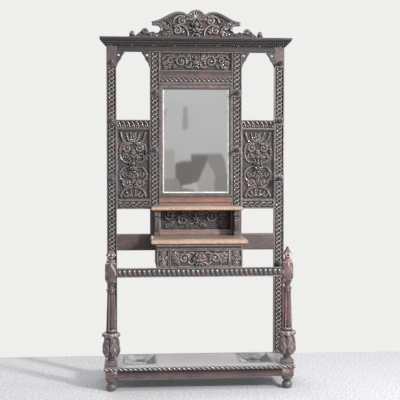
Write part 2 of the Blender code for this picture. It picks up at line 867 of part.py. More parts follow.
def build_pegs():
    """Turned coat pegs that stand straight out of the stile faces."""
    profile = [
        (0.0080, PEG_LENGTH),
        (0.0140, PEG_LENGTH - 0.0020),
        (PEG_HEAD, PEG_LENGTH - 0.0060),
        (PEG_HEAD, PEG_LENGTH - 0.0100),
        (0.0110, PEG_LENGTH - 0.0150),
        (0.0065, PEG_LENGTH - 0.0220),
        (0.0060, 0.0350),
        (0.0080, 0.0200),
        (0.0120, 0.0120),
        (0.0140, 0.0060),
        (0.0140, 0.0000),
    ]
    mesh = turned_mesh("peg", profile, PEG_STEPS)
    places = []
    for side, sign in (("left", -1), ("right", 1)):
        for level, z in zip(("low", "mid", "top"), OUTER_PEG_Z):
            places.append((f"peg_outer_{level}_{side}", sign * OUTER_X, z))
        for level, z in zip(("low", "top"), INNER_PEG_Z):
            places.append((f"peg_inner_{level}_{side}", sign * INNER_X, z))
    for name, x, z in places:
        peg = add_object(name, mesh.copy(), OAK)
        peg.rotation_euler = (math.pi / 2, 0.0, 0.0)
        peg.location = (x, FRAME_FRONT - GAP, z)


# --------------------------------------------------------------------- model
clear_scene()
MODEL = new_collection(NAME)
CUTTERS = new_collection("cutters")
OAK = material("dark_oak", (0.055, 0.040, 0.033), 0.45)
WORN_OAK = material("worn_oak", (0.300, 0.170, 0.090), 0.50)
DEAL = material("deal", (0.280, 0.190, 0.110), 0.70)
SILVER = material("mirror_silver", (0.800, 0.820, 0.820), 0.03, 1.0)
ZINC = material("zinc", (0.330, 0.330, 0.320), 0.45, 0.9)

build_feet()
build_plinth()
build_legs()
build_umbrella_rails()
build_back_frame()
build_side_panels()
build_middle_bay()
build_ledge_and_shelf()
build_drawer_case()
build_drawer()
build_cornice()
build_crest()
build_brackets()
build_pegs()
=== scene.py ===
"""Looks of the carved oak hall tree: carved boards, turned posts, bevelled mirror and
drip trays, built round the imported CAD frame. Metres, +Z up, -Y is the front."""

import math

import bmesh
import bpy
import numpy as np
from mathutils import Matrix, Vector


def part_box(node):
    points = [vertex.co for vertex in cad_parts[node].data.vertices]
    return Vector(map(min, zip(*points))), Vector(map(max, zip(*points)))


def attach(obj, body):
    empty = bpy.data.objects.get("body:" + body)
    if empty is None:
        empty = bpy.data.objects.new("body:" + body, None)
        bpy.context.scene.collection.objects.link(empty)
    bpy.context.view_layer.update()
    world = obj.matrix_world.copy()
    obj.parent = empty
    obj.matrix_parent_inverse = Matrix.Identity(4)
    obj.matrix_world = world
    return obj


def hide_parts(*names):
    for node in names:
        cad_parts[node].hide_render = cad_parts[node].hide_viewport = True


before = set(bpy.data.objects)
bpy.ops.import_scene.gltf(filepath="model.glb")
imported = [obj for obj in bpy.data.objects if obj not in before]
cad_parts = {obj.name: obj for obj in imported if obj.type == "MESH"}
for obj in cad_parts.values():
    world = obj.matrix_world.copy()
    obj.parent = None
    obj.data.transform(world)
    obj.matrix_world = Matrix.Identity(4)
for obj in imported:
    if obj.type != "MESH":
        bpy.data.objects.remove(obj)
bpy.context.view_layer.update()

# --------------------------------------------------------------- fixed sizes
FINE = 0.0016                   # grid of the carved panels
COARSE = 0.0020                 # grid of the long rails and stiles
CARVE_DEPTH = 0.0150            # ground of the carving behind its highest part
SINK = 0.0130                   # how far the ground lies behind a board's CAD face
EDGE_DEPTH = 0.0100             # depth of the ornament on stiles and narrow rails
STILE_PITCH = 0.0266            # one unit of the stiles' running ornament
ROPE_PITCH = 0.0286             # one unit of the rope mouldings
DRAWER_DEPTH = 0.0085
BEAM = 110.0                    # spread in degrees of the front lamps, which spares the floor
SHOULDER = 0.004                # how far behind its ground a board's sides still get the rubbing and its painted highlight
PLAIN_DEPTH = 0.6               # tone of the uncarved sides and backs of boards
CORNICE_FOOT_HALF = 0.554       # foot of the cornice's splay
CORNICE_FOOT_FRONT = 0.150
SIGHT_LOW = (-0.2037, 1.152)    # corners of the glass that shows inside the mirror's frame
SIGHT_HIGH = (0.2037, 1.790)
NICHE_FACE = 0.163              # front of the niche panel above its sill
NICHE_FACE_LOW = 0.921          # top of that sill
UMBRELLA_FILLET = 0.0085        # depth of the umbrella rails' ornament
PLINTH_ROPE = 0.008             # depth of the rope strips round the plinth board
LEG_X = 0.522                   # axis of the front legs
LEG_HALF = 0.035                # half the width of their square blocks
LEG_BLOCK = (0.630, 0.757)      # bottom and top of the upper block
LEG_PLINTH_TOP = 0.1721
TRAY_WALL_INSET = 0.0125        # where a tray's wall starts, in from its rim
TRAY_WALL_LEAN = 0.050          # how far that wall leans in on its way down
TRAY_LIP = 0.0025               # thickness of its lip
GAP = 0.0003                    # clearance between pieces that touch
RIM_WELD = 0.00002              # how near points on a plate's rim are joined
SIDES = (("left", -1), ("right", 1))


# ------------------------------------------------------------------- drawing
def spiral(cx, cz, radius, start, turns, inner=0.22, count=30):
    """A line winding inwards from an angle in degrees; negative turns go clockwise."""
    t = np.linspace(0.0, 1.0, count)
    angle = math.radians(start) + 2 * math.pi * turns * t
    reach = radius * (1 - (1 - inner) * t)
    return np.stack([cx + reach * np.cos(angle), cz + reach * np.sin(angle)], axis=1)


def curve(points, count=7):
    """A smooth line through a few points."""
    points = np.asarray(points, float)
    padded = np.vstack([2 * points[0] - points[1], points, 2 * points[-1] - points[-2]])
    line = []
    for p0, p1, p2, p3 in zip(padded, padded[1:], padded[2:], padded[3:]):
        for t in np.arange(count) / count:
            line.append(
                0.5
                * (
                    2 * p1
                    + (p2 - p0) * t
                    + (2 * p0 - 5 * p1 + 4 * p2 - p3) * t * t
                    + (3 * p1 - p0 - 3 * p2 + p3) * t ** 3
                )
            )
    return np.array(line + [points[-1]])


def bowed(start, end, bow, count=10):
    """An arched line between two points; bow is its rise as a share of its length."""
    start = np.asarray(start, float)
    end = np.asarray(end, float)
    t = np.linspace(0.0, 1.0, count)[:, None]
    across = np.array([start[1] - end[1], end[0] - start[0]])
    return start + (end - start) * t + across * bow * 4 * t * (1 - t)


def halves(cx, cz):
    """For the left half and the right one: its sign, and a function that places points in it."""
    for side in (-1, 1):
        yield side, lambda points, side=side: np.asarray(points, float) * (side, 1.0) + (cx, cz)


def smooth_step(value, low, high):
    t = np.clip((value - low) / (high - low), 0.0, 1.0)
    return t * t * (3 - 2 * t)


class Relief:
    """A height map over one face of a board: x across and z up, in metres."""

    def __init__(self, low, high, step):
        self.low = np.asarray(low, float)
        self.high = np.asarray(high, float)
        columns, rows = np.round((self.high - self.low) / step).astype(int) + 1
        across = np.linspace(self.low[0], self.high[0], columns)
        upward = np.linspace(self.low[1], self.high[1], rows)
        self.x, self.z = np.meshgrid(across, upward)
        self.h = np.zeros(self.x.shape)

    @property
    def middle(self):
        return (self.low + self.high) / 2

    def window(self, x_low, x_high, z_low, z_high):
        """Slices of the grid that cover a rectangle."""
        rows, columns = self.h.shape
        scale = (np.array([columns, rows]) - 1) / (self.high - self.low)
        first = np.floor((np.array([x_low, z_low]) - self.low) * scale).astype(int)
        last = np.ceil((np.array([x_high, z_high]) - self.low) * scale).astype(int) + 1
        first = np.maximum(first, 0)
        last = np.maximum(last, 0)
        return slice(first[1], last[1]), slice(first[0], last[0])

    def stroke(self, points, width, lift, end_width=None, ground=0.0):
        """A half-round strand along a line, tapering from width to end_width."""
        points = np.asarray(points, float)
        widths = np.linspace(width, width if end_width is None else end_width, len(points)) / 2
        for (x0, z0), (x1, z1), r0, r1 in zip(points, points[1:], widths, widths[1:]):
            reach = max(r0, r1)
            left, right = sorted((x0, x1))
            foot, top = sorted((z0, z1))
            at = self.window(left - reach, right + reach, foot - reach, top + reach)
            gx = self.x[at] - x0
            gz = self.z[at] - z0
            dx = x1 - x0
            dz = z1 - z0
            t = np.clip((gx * dx + gz * dz) / max(dx * dx + dz * dz, 1e-12), 0, 1)
            radius = r0 + (r1 - r0) * t
            off = ((gx - t * dx) ** 2 + (gz - t * dz) ** 2) / radius ** 2
            rise = ground + lift * np.sqrt(np.clip(1 - off, 0, 1)) * np.sqrt(radius / widths.max())
            self.h[at] = np.where(off < 1, np.maximum(self.h[at], rise), self.h[at])

    def groove(self, points, width, depth):
        """A round-bottomed cut along a line."""
        cut = Relief.__new__(Relief)
        cut.low, cut.high, cut.x, cut.z = self.low, self.high, self.x, self.z
        cut.h = np.zeros(self.h.shape)
        cut.stroke(points, width, depth)
        self.h = np.maximum(self.h - cut.h, 0.0)

    def scroll(self, points, width, lift, end_width=None):
        """A leafy strand: lobes on the outside of its bend, and a fine cut along its crest."""
        points = np.asarray(points, float)
        steps = np.diff(points, axis=0)
        sizes = np.linalg.norm(steps, axis=1)
        way = steps / sizes[:, None]
        travelled = np.cumsum(sizes)
        for reach in np.arange(0.7 * width, 0.5 * travelled[-1], 0.95 * width):
            i = min(int(np.searchsorted(travelled, reach)), len(way) - 2)
            bend = way[i][0] * way[i + 1][1] - way[i][1] * way[i + 1][0]
            out = np.array([way[i][1], -way[i][0]]) * (1.0 if bend > 0 else -1.0)
            tip = points[i] + width * (0.66 * out + 0.42 * way[i])
            self.stroke([points[i], tip], 0.90 * width, 0.90 * lift, 0.62 * width)
            self.groove([points[i] + 0.3 * width * out, tip], 0.16 * width, 0.35 * lift)
        self.stroke(points, width, lift, end_width)
        self.groove(points, width * 0.20, lift * 0.16)

    def dome(self, x, z, rx, rz, lift, ground=0.0):
        """A boss with an oval outline."""
        at = self.window(x - rx, x + rx, z - rz, z + rz)
        off = ((self.x[at] - x) / rx) ** 2 + ((self.z[at] - z) / rz) ** 2
        rise = ground + lift * np.sqrt(np.clip(1 - off, 0, 1))
        self.h[at] = np.where(off < 1, np.maximum(self.h[at], rise), self.h[at])

    def pit(self, x, z, rx, rz, depth):
        """An oval hollow."""
        at = self.window(x - rx, x + rx, z - rz, z + rz)
        off = ((self.x[at] - x) / rx) ** 2 + ((self.z[at] - z) / rz) ** 2
        self.h[at] = np.maximum(self.h[at] - depth * np.clip(1 - off, 0, 1), 0.0)

    def leaf(self, start, end, width, lift, bow=0.0, lobes=3):
        """A carved leaf with side lobes and a cut midrib."""
        line = bowed(start, end, bow)
        along = line[-1] - line[0]
        length = np.hypot(*along)
        self.stroke(line[:6], width * 0.40, lift * 0.8, width * 0.6)
        self.stroke(line[5:], width * 0.6, lift * 0.9, width * 0.12)
        for i in range(lobes):
            share = 0.22 + 0.5 * i / max(lobes - 1, 1)
            root = line[int(share * (len(line) - 1))]
            size = width * (0.62 - 0.25 * share)
            for side in (-1, 1):
                turn = math.atan2(along[1], along[0]) + side * 0.75
                tip = root + size * np.array([math.cos(turn), math.sin(turn)]) * 1.05
                self.stroke([root, (root + tip) / 2, tip], size * 0.84, lift, size * 0.44)
        self.groove(line[:-2], min(width * 0.13, length * 0.05), lift * 0.45)

    def frame_edge(self, margin, slope, height):
        """A flat margin round the board that falls to the ground by a bevel."""
        inset = np.minimum.reduce([
            self.x - self.low[0],
            self.high[0] - self.x,
            self.z - self.low[1],
            self.high[1] - self.z,
        ])
        rise = height * (1 - np.clip((inset - margin) / slope, 0, 1))
        self.h = np.maximum(self.h, rise)

    def rope(self, z, radius, lift, pitch, lean=0.55, ground=0.0):
        """A twisted rope moulding across the whole board."""
        at = self.window(self.low[0], self.high[0], z - radius, z + radius)
        up = np.clip((self.z[at] - z) / radius, -1, 1)
        phase = self.x[at] / pitch + lean * np.arcsin(up) / (math.pi / 2)
        strand = np.abs(np.sin(math.pi * phase)) ** 0.75
        rise = ground + lift * np.sqrt(1 - np.abs(up) ** 3) * strand
        self.h[at] = np.maximum(self.h[at], rise)


# ------------------------------------------------------------------- meshes
def set_attribute(mesh, name, values):
    attribute = mesh.attributes.new(name, "FLOAT", "POINT")
    attribute.data.foreach_set("value", np.asarray(values, np.float32))


def mark_standout(mesh, reach=0.0046, gain=620.0):
    """Store how far each point stands out round it, 0 hollow to 1 edge: the materials paint shade and
    highlight from it.
    """
    count = len(mesh.vertices)
    co = np.empty(count * 3)
    mesh.vertices.foreach_get("co", co)
    co = co.reshape(-1, 3)
    normal = np.empty(count * 3, np.float32)
    mesh.vertices.foreach_get("normal", normal)
    ends = np.empty(len(mesh.edges) * 2, np.int32)
    mesh.edges.foreach_get("vertices", ends)
    a, b = ends.reshape(-1, 2).T
    length = np.linalg.norm(co[a] - co[b], axis=1)
    near = length < 0.007
    a = a[near]
    b = b[near]
    passes = int(np.clip((reach / length[near].mean()) ** 2, 4, 30)) if near.any() else 1
    links = np.bincount(a, minlength=count) + np.bincount(b, minlength=count)
    smooth = co.copy()
    for _ in range(passes):
        total = np.stack([
            np.bincount(a, smooth[b, k], count) + np.bincount(b, smooth[a, k], count)
            for k in range(3)
        ], axis=1)
        mean = np.where(links[:, None] > 0, total / np.maximum(links, 1)[:, None], smooth)
        smooth = 0.5 * smooth + 0.5 * mean
    stand = np.einsum("ij,ij->i", co - smooth, normal.reshape(-1, 3))
    set_attribute(mesh, "standout", np.clip(0.5 + gain * stand, 0.0, 1.0))


def tidy_mesh(mesh, sharp=40.0):
    """Outward normals, smooth shading with sharp edges, and the standout attribute."""
    bm = bmesh.new()
    bm.from_mesh(mesh)
    bmesh.ops.recalc_face_normals(bm, faces=bm.faces)
    bm.to_mesh(mesh)
    bm.free()
    mesh.shade_smooth()
    mesh.set_sharp_from_angle(angle=math.radians(sharp))
    mark_standout(mesh)
    return mesh


def new_mesh(points, faces, depth):
    """A mesh with its depth attribute, the tone that the oak and the zinc read: a low depth darkens their
    colour.
    """
    mesh = bpy.data.meshes.new("piece")
    mesh.from_pydata(points.tolist(), [], faces)
    set_attribute(mesh, "depth", depth)
    return mesh


def evenly_toned(bm):
    """A finished mesh with the same tone all over."""
    mesh = bpy.data.meshes.new("piece")
    bm.to_mesh(mesh)
    bm.free()
    set_attribute(mesh, "depth", np.ones(len(mesh.vertices)))
    return tidy_mesh(mesh, 30.0)


def tone_by_height(mesh, top, foot, tone, change):
    """Shift a board's depth from tone at its top by change at its foot."""
    heights = np.array([vertex.co.z for vertex in mesh.vertices])
    values = tone + change * smooth_step(heights, top, foot)
    mesh.attributes["depth"].data.foreach_set("value", values.astype(np.float32))


def loft(rings, depth=None, sharp=40.0):
    """A closed solid through rings of points, with flat ends."""
    rows, around = rings.shape[:2]
    index = np.arange(rows * around).reshape(rows, around)
    here = index[:-1]
    over = index[1:]
    quads = np.stack([here, np.roll(here, -1, 1), np.roll(over, -1, 1), over], axis=-1)
    faces = quads.reshape(-1, 4).tolist() + [index[0][::-1].tolist(), index[-1].tolist()]
    tone = np.ones(rows * around) if depth is None else depth.ravel()
    return tidy_mesh(new_mesh(rings.reshape(-1, 3), faces, tone), sharp)


def piece(name, mesh, material, nodes=(), body="root"):
    """Put a finished mesh in the scene, riding on its CAD body."""
    obj = bpy.data.objects.new(name, mesh)
    bpy.context.scene.collection.objects.link(obj)
    mesh.name = name
    mesh.materials.clear()
    mesh.materials.append(material)
    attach(obj, body)
    if nodes:
        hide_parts(*nodes)
    return obj


def carved_board(relief, ground, back, full=CARVE_DEPTH, facing="front"):
    """A board whose face is a relief. ground and back are places along the face's normal."""
    rows = len(relief.h)
    face = np.stack([relief.x, relief.h, relief.z], axis=-1)
    outward = 1.0 if facing == "right" else -1.0
    face[..., 1] = ground + outward * face[..., 1]
    corners = face[:, [-1, 0], :]
    shoulder = corners.copy()
    shoulder[..., 1] = ground + np.clip(0.5 * (back - ground), -SHOULDER, SHOULDER)
    rear = corners.copy()
    rear[..., 1] = back
    rings = np.concatenate([face, shoulder[:, :1], rear, shoulder[:, 1:]], axis=1)
    if facing != "front":
        rings = rings[..., [1, 0, 2]]
    # the relief's height as depth: the ground between the carving is darkened, painted shade
    depth = np.concatenate([np.clip(relief.h / full, 0, 1), np.full((rows, 4), PLAIN_DEPTH)], axis=1)
    return loft(rings, depth)


def boundary_of(node, plane_y):
    """The outline of a CAD board as edges in x and z, read off its flat back face."""
    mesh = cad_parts[node].data
    seen = {}
    for polygon in mesh.polygons:
        corners = [tuple(round(c, 5) for c in mesh.vertices[i].co) for i in polygon.vertices]
        if all(abs(c[1] - plane_y) < 1e-4 for c in corners):
            for a, b in zip(corners, corners[1:] + corners[:1]):
                key = tuple(sorted(((a[0], a[2]), (b[0], b[2]))))
                seen[key] = seen.get(key, 0) + 1
    return np.array([key for key, uses in seen.items() if uses == 1])


def inside_distance(x, z, edges):
    """Distance to an outline, positive inside it, and the nearest point on it."""
    best = np.full(x.shape, 1e9)
    near = np.zeros(x.shape + (2,))
    crossings = np.zeros(x.shape, int)
    for (x0, z0), (x1, z1) in edges:
        dx = x1 - x0
        dz = z1 - z0
        t = np.clip(((x - x0) * dx + (z - z0) * dz) / (dx * dx + dz * dz), 0, 1)
        px = x0 + t * dx
        pz = z0 + t * dz
        gap = np.hypot(x - px, z - pz)
        closer = gap < best
        best = np.where(closer, gap, best)
        near[closer] = np.stack([px, pz], axis=-1)[closer]
        if z0 != z1:
            spans = (z0 > z) != (z1 > z)
            crossings += spans & (x < x0 + dx * (z - z0) / (z1 - z0))
    return np.where(crossings % 2 == 1, best, -best), near


def carved_plate(relief, near, inside, ground, back, full=CARVE_DEPTH):
    """A board of any outline with a relief on its face. inside and near come from
    inside_distance, and the rim is drawn on to the outline itself."""
    cells = (inside[:-1, :-1] + inside[1:, :-1] + inside[:-1, 1:] + inside[1:, 1:]) > 0
    padded = np.pad(cells, 1)
    around = np.stack([padded[:-1, :-1], padded[1:, :-1], padded[:-1, 1:], padded[1:, 1:]])
    used = around.any(axis=0)
    rim = used & ~around.all(axis=0)
    x = np.where(rim, near[..., 0], relief.x)
    z = np.where(rim, near[..., 1], relief.z)
    index = np.full(used.shape, -1)
    index[used] = np.arange(used.sum())
    quads = np.stack([index[:-1, :-1], index[:-1, 1:], index[1:, 1:], index[1:, :-1]], axis=-1)[cells]
    front = np.stack([x, ground - relief.h, z], axis=-1)[used]
    rear = front.copy()
    rear[:, 1] = back
    count = len(front)
    sides = np.concatenate([quads[:, [k, (k + 1) % 4]] for k in range(4)])
    keys = np.sort(sides, axis=1)
    _, first, uses = np.unique(keys, axis=0, return_index=True, return_counts=True)
    border = sides[first[uses == 1]]
    rim_points = np.unique(border)
    shoulder = front[rim_points]
    shoulder[:, 1] = ground + min(0.5 * (back - ground), SHOULDER)
    middle = np.full(count, -1)
    middle[rim_points] = 2 * count + np.arange(len(rim_points))
    before, after = border.T
    walls = [
        np.stack([after, before, middle[before], middle[after]], axis=-1),
        np.stack([middle[after], middle[before], before + count, after + count], axis=-1),
    ]
    faces = np.concatenate([quads, quads[:, ::-1] + count] + walls)
    plain = np.full(count + len(rim_points), PLAIN_DEPTH)
    # the relief's height as depth: the ground between the carving is darkened, painted shade
    tone = np.concatenate([np.clip(relief.h[used] / full, 0, 1), plain])
    mesh = new_mesh(np.concatenate([front, rear, shoulder]), faces.tolist(), tone)
    bm = bmesh.new()
    bm.from_mesh(mesh)
    bmesh.ops.remove_doubles(bm, verts=bm.verts, dist=RIM_WELD)
    bm.to_mesh(mesh)
    bm.free()
    return tidy_mesh(mesh)


def rounded(profile, passes=2):
    """Cut the corners of a profile; a point listed twice stays sharp."""
    points = np.asarray(profile, float)
    for _ in range(passes):
        cut = [points[0]]
        for a, b in zip(points, points[1:]):
            if np.allclose(a, b):
                cut.append(a)
                cut.append(a)
            else:
                cut.append(0.75 * a + 0.25 * b)
                cut.append(0.25 * a + 0.75 * b)
        cut.append(points[-1])
        points = np.array(cut)
    keep = np.ones(len(points), bool)
    keep[1:] = np.linalg.norm(np.diff(points, axis=0), axis=1) > 0.00012
    return points[keep]


def refined(points, longest):
    """Add points so that no stretch of a profile is longer than a given length."""
    fine = [points[0]]
    for a, b in zip(points, points[1:]):
        parts = max(1, math.ceil(np.linalg.norm(b - a) / longest))
        for i in range(1, parts + 1):
            fine.append(a + (b - a) * i / parts)
    return np.array(fine)


def turned(profile, centre, steps=64, longest=0.004, shape=None, axis="z", passes=2):
    """A turned solid from (radius, height) points. shape may change radius and height
    round the turning, which is how flutes and leaves are carved."""
    line = refined(rounded(profile, passes), longest)
    angle = np.linspace(0, 2 * math.pi, steps, endpoint=False)
    radius = np.repeat(line[:, :1], steps, axis=1)
    height = np.repeat(line[:, 1:], steps, axis=1)
    plain = radius
    if shape:
        radius, height = shape(angle[None, :], radius, height)
    # narrow necks and carved-in hollows get a low depth, which darkens the oak: painted shade
    cove = smooth_step(line[:, :1] / line[:, 0].max(), 0.30, 0.62)
    depth = 0.2 + 0.8 * cove - 1.1 * np.clip((plain - radius) / 0.007, 0.0, 1.0)
    rings = np.stack([radius * np.cos(angle), radius * np.sin(angle), height], axis=-1)
    if axis == "y":
        rings = rings[..., [0, 2, 1]] * (1, -1, 1)
    return loft(rings + np.asarray(centre, float), depth, 50.0)


def stacked(levels, back, sharp=30.0):
    """A moulded board from (z, half width, front, depth) levels, square at the back."""
    rings = []
    depth = []
    for z, half, front, tone in levels:
        rings.append([(-half, back, z), (-half, front, z), (half, front, z), (half, back, z)])
        depth.append([tone] * 4)
    return loft(np.array(rings, float), np.array(depth), sharp)


def eased(node, width, change=None):
    """A copy of a plain CAD node with softened edges."""
    bm = bmesh.new()
    bm.from_mesh(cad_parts[node].data)
    bmesh.ops.remove_doubles(bm, verts=bm.verts, dist=0.00005)
    bmesh.ops.dissolve_limit(bm, angle_limit=math.radians(1), verts=bm.verts, edges=bm.edges)
    if change:
        for vertex in bm.verts:
            vertex.co = change(vertex.co)
    corners = [e for e in bm.edges if len(e.link_faces) == 2 and e.calc_face_angle() > math.radians(25)]
    bmesh.ops.bevel(
        bm, geom=corners, offset=width, segments=2, affect="EDGES", profile=0.5, clamp_overlap=True
    )
    return evenly_toned(bm)


def plain_board(low, high):
    """A plain sawn board with softened edges."""
    bm = bmesh.new()
    bmesh.ops.create_cube(bm, size=1.0)
    for vertex in bm.verts:
        vertex.co = [lo + (hi - lo) * (c + 0.5) for lo, hi, c in zip(low, high, vertex.co)]
    bmesh.ops.bevel(bm, geom=list(bm.edges), offset=0.0015, segments=2, affect="EDGES", profile=0.5)
    return evenly_toned(bm)


def corners_of(low, high):
    """The four corners of an upright rectangle, in order round it."""
    return [(low[0], low[1]), (high[0], low[1]), (high[0], high[1]), (low[0], high[1])]


def swept_frame(outer, inner, front, section):
    """A mitred frame between two rectangles. section lists shares of the way from the
    outer one to the inner one, each with a depth behind the front."""
    rings = np.array([
        [(ox + (ix - ox) * share, front + depth, oz + (iz - oz) * share) for share, depth in section]
        for (ox, oz), (ix, iz) in zip(corners_of(*outer), corners_of(*inner))
    ])
    corners, around = rings.shape[:2]
    index = np.arange(corners * around).reshape(corners, around)
    over = np.roll(index, -1, 0)
    quads = np.stack([index, np.roll(index, -1, 1), np.roll(over, -1, 1), over], axis=-1)
    mesh = new_mesh(rings.reshape(-1, 3), quads.reshape(-1, 4).tolist(), np.ones(corners * around))
    return tidy_mesh(mesh, 25.0)


# ---------------------------------------------------------------- materials
class Nodes:
    """A short way to write the node tree of a material or of the world."""

    def __init__(self, owner):
        owner.use_nodes = True
        self.material = owner
        self.tree = owner.node_tree
        self.shader = self.tree.nodes.get("Principled BSDF")

    def add(self, kind, inputs=(), **settings):
        node = self.tree.nodes.new(kind)
        for key, value in settings.items():
            setattr(node, key, value)
        for key, value in dict(inputs).items():
            if isinstance(value, bpy.types.NodeSocket):
                self.tree.links.new(value, node.inputs[key])
            else:
                node.inputs[key].default_value = value
        return node

    def place(self, scale=(1, 1, 1)):
        where = self.add("ShaderNodeTexCoord").outputs["Object"]
        return self.add("ShaderNodeMapping", {"Vector": where, "Scale": scale}).outputs[0]

    def noise(self, place, scale, detail=4.0, roughness=0.55, distortion=0.0):
        inputs = {
            "Vector": place,
            "Scale": scale,
            "Detail": detail,
            "Roughness": roughness,
            "Distortion": distortion,
        }
        return self.add("ShaderNodeTexNoise", inputs).outputs["Fac"]

    def spread(self, value, low, high, out_low=0.0, out_high=1.0):
        """Map a value's range to another, with ends held."""
        inputs = {"Value": value, "From Min": low, "From Max": high, "To Min": out_low, "To Max": out_high}
        return self.add("ShaderNodeMapRange", inputs, interpolation_type="SMOOTHSTEP").outputs[0]

    def mix(self, factor, a, b):
        node = self.add("ShaderNodeMix", data_type="RGBA")
        for slot, value in ((0, factor), (6, a), (7, b)):
            if isinstance(value, bpy.types.NodeSocket):
                self.tree.links.new(value, node.inputs[slot])
            else:
                node.inputs[slot].default_value = value if slot == 0 else (*value, 1.0)
        return node.outputs[2]

    def math(self, operation, a, b):
        node = self.add("ShaderNodeMath", operation=operation)
        for slot, value in enumerate((a, b)):
            if isinstance(value, bpy.types.NodeSocket):
                self.tree.links.new(value, node.inputs[slot])
            else:
                node.inputs[slot].default_value = value
        return node.outputs[0]

    def attribute(self, name):
        return self.add("ShaderNodeAttribute", attribute_name=name).outputs["Fac"]

    def bump(self, height, strength, distance):
        inputs = {"Height": height, "Strength": strength, "Distance": distance}
        return self.add("ShaderNodeBump", inputs).outputs[0]

    def connect(self, **sockets):
        for key, value in sockets.items():
            name = key.replace("_", " ").title()
            if isinstance(value, bpy.types.NodeSocket):
                self.tree.links.new(value, self.shader.inputs[name])
            else:
                self.shader.inputs[name].default_value = value
        return self.material


def new_material(name):
    return Nodes(bpy.data.materials.new(name))


GRAIN = {"x": (3.0, 42.0, 42.0), "z": (42.0, 42.0, 3.0)}


def oak(name, grain, colours, red_share=0.3, gloss=0.30, coat=0.6, worn_highlight_share=0.56):
    """Old waxed oak: grain, red-brown patches, painted shade in the hollows, and edges lightened
    by real rubbing and a painted highlight. colours are the hollow shade, dark, mid, red and worn highlight
    ones."""
    hollow, dark, mid, red, worn_highlight = colours
    nodes = new_material(name)
    fibre = nodes.noise(nodes.place(GRAIN[grain]), 6.0, 6.0, 0.65, 0.4)
    broad = nodes.noise(nodes.place(), 7.0, 3.0)
    mottle = nodes.noise(nodes.place(), 55.0, 4.0)
    standout = nodes.attribute("standout")
    depth = nodes.attribute("depth")
    colour = nodes.mix(nodes.spread(fibre, 0.30, 0.70), dark, mid)
    colour = nodes.mix(nodes.math("MULTIPLY", nodes.spread(broad, 0.46, 0.66), red_share), colour, red)
    # the worn highlight on ridges and edges: real rubbing, and a painted highlight that stands in for the
    # wax's shine
    worn_highlight_mask = nodes.math("MULTIPLY", nodes.spread(standout, 0.60, 1.0), nodes.spread(mottle, 0.35, 0.60, 0.35, 1.0))
    colour = nodes.mix(nodes.math("MULTIPLY", worn_highlight_mask, worn_highlight_share), colour, worn_highlight)
    # painted shade: the low ground of the carving and the hollows at the foot of its forms go towards the
    # hollow colour
    sunk = nodes.math("MULTIPLY", nodes.spread(depth, -0.6, 0.35), nodes.spread(standout, 0.05, 0.45, 0.12, 1.0))
    colour = nodes.mix(sunk, hollow, colour)
    dull = nodes.spread(depth, 0.0, 0.5, 0.5, 0.0)
    rough = nodes.math("ADD", nodes.spread(mottle, 0.3, 0.7, gloss * 0.8, gloss * 1.25), dull)
    wax = nodes.spread(depth, 0.1, 0.5, 0.0, coat)
    pores = nodes.bump(nodes.math("ADD", fibre, nodes.math("MULTIPLY", mottle, dull)), 0.40, 0.0007)
    nodes.connect(base_color=colour, roughness=rough, normal=pores, coat_weight=wax, coat_roughness=0.14)
    return nodes.material


def shade(red, green, blue):
    """A display colour, 0 to 255, as the linear colour that shaders take."""
    return tuple((c / 255) ** 2.2 for c in (red, green, blue))


def shades(*colours):
    return tuple(shade(*colour) for colour in colours)


# each set: hollow shade, dark, mid, red and worn highlight; the first is painted shade, the last real rubbing
# with a painted highlight
DARK_SHADES = shades((2, 2, 2), (50, 47, 49), (88, 83, 85), (106, 76, 70), (182, 172, 165))
RED_SHADES = shades((10, 8, 9), (58, 48, 51), (96, 79, 81), (122, 82, 80), (206, 188, 180))
WARM_SHADES = shades((52, 36, 34), (88, 68, 62), (128, 102, 94), (142, 90, 74), (192, 156, 132))
TAN_SHADES = shades((42, 31, 27), (112, 94, 83), (142, 121, 107), (142, 101, 79), (188, 156, 131))
TOP_SHADES = shades((70, 68, 68), (122, 120, 121), (150, 148, 149), (142, 130, 128), (186, 182, 182))
BULB_SHADES = shades((6, 5, 6), (58, 51, 53), (94, 83, 86), (112, 82, 80), (204, 194, 192))
FRAME_SHADES = shades((8, 7, 7), (50, 42, 43), (84, 71, 72), (104, 74, 70), (170, 162, 160))
SHADED_SHADES = shades((3, 3, 3), (34, 31, 33), (58, 52, 54), (78, 56, 54), (150, 146, 147))


def oak_pair(name, *look):
    """The same oak with its grain upright and across."""
    return oak(name + "_upright", "z", *look), oak(name + "_across", "x", *look)


OAK_UP, OAK_ACROSS = oak_pair("dark_oak", DARK_SHADES)
RED_UP, RED_ACROSS = oak_pair("red_oak", RED_SHADES, 0.5, 0.42, 0.2)
FRAME_UP, FRAME_ACROSS = oak_pair("frame_oak", FRAME_SHADES, 0.3, 0.45, 0.2, 0.2)
SHADED_ACROSS = oak("shaded_oak_across", "x", SHADED_SHADES, 0.15, 0.5, 0.15, 0.3)
BULB_OAK = oak("bulb_oak", "z", BULB_SHADES, 0.4, 0.38, 0.3)
WARM = oak("warm_oak", "x", WARM_SHADES, 0.5, 0.38, 0.35, 0.4)
# oak of the ledge and shelf tops, lighter partly from real wear and partly as a painted sheen
TAN = oak("worn_oak", "x", TAN_SHADES, 0.3, 0.42, 0.2, 0.5)
BASE_TOP = oak("worn_plinth_top", "x", TOP_SHADES, 0.2, 0.42, 0.2)


def deal_material():
    """Plain softwood of the drawer box and the mirror's backboard."""
    nodes = new_material("deal")
    fibre = nodes.noise(nodes.place((1.5, 40.0, 40.0)), 5.0, 5.0, 0.6, 0.3)
    knots = nodes.noise(nodes.place(), 14.0, 2.0)
    colour = nodes.mix(nodes.spread(fibre, 0.3, 0.7), shade(158, 126, 92), shade(182, 150, 112))
    colour = nodes.mix(nodes.spread(knots, 0.68, 0.76), colour, shade(122, 88, 60))
    rough = nodes.spread(fibre, 0.2, 0.8, 0.55, 0.75)
    return nodes.connect(base_color=colour, roughness=rough, normal=nodes.bump(fibre, 0.3, 0.0006))


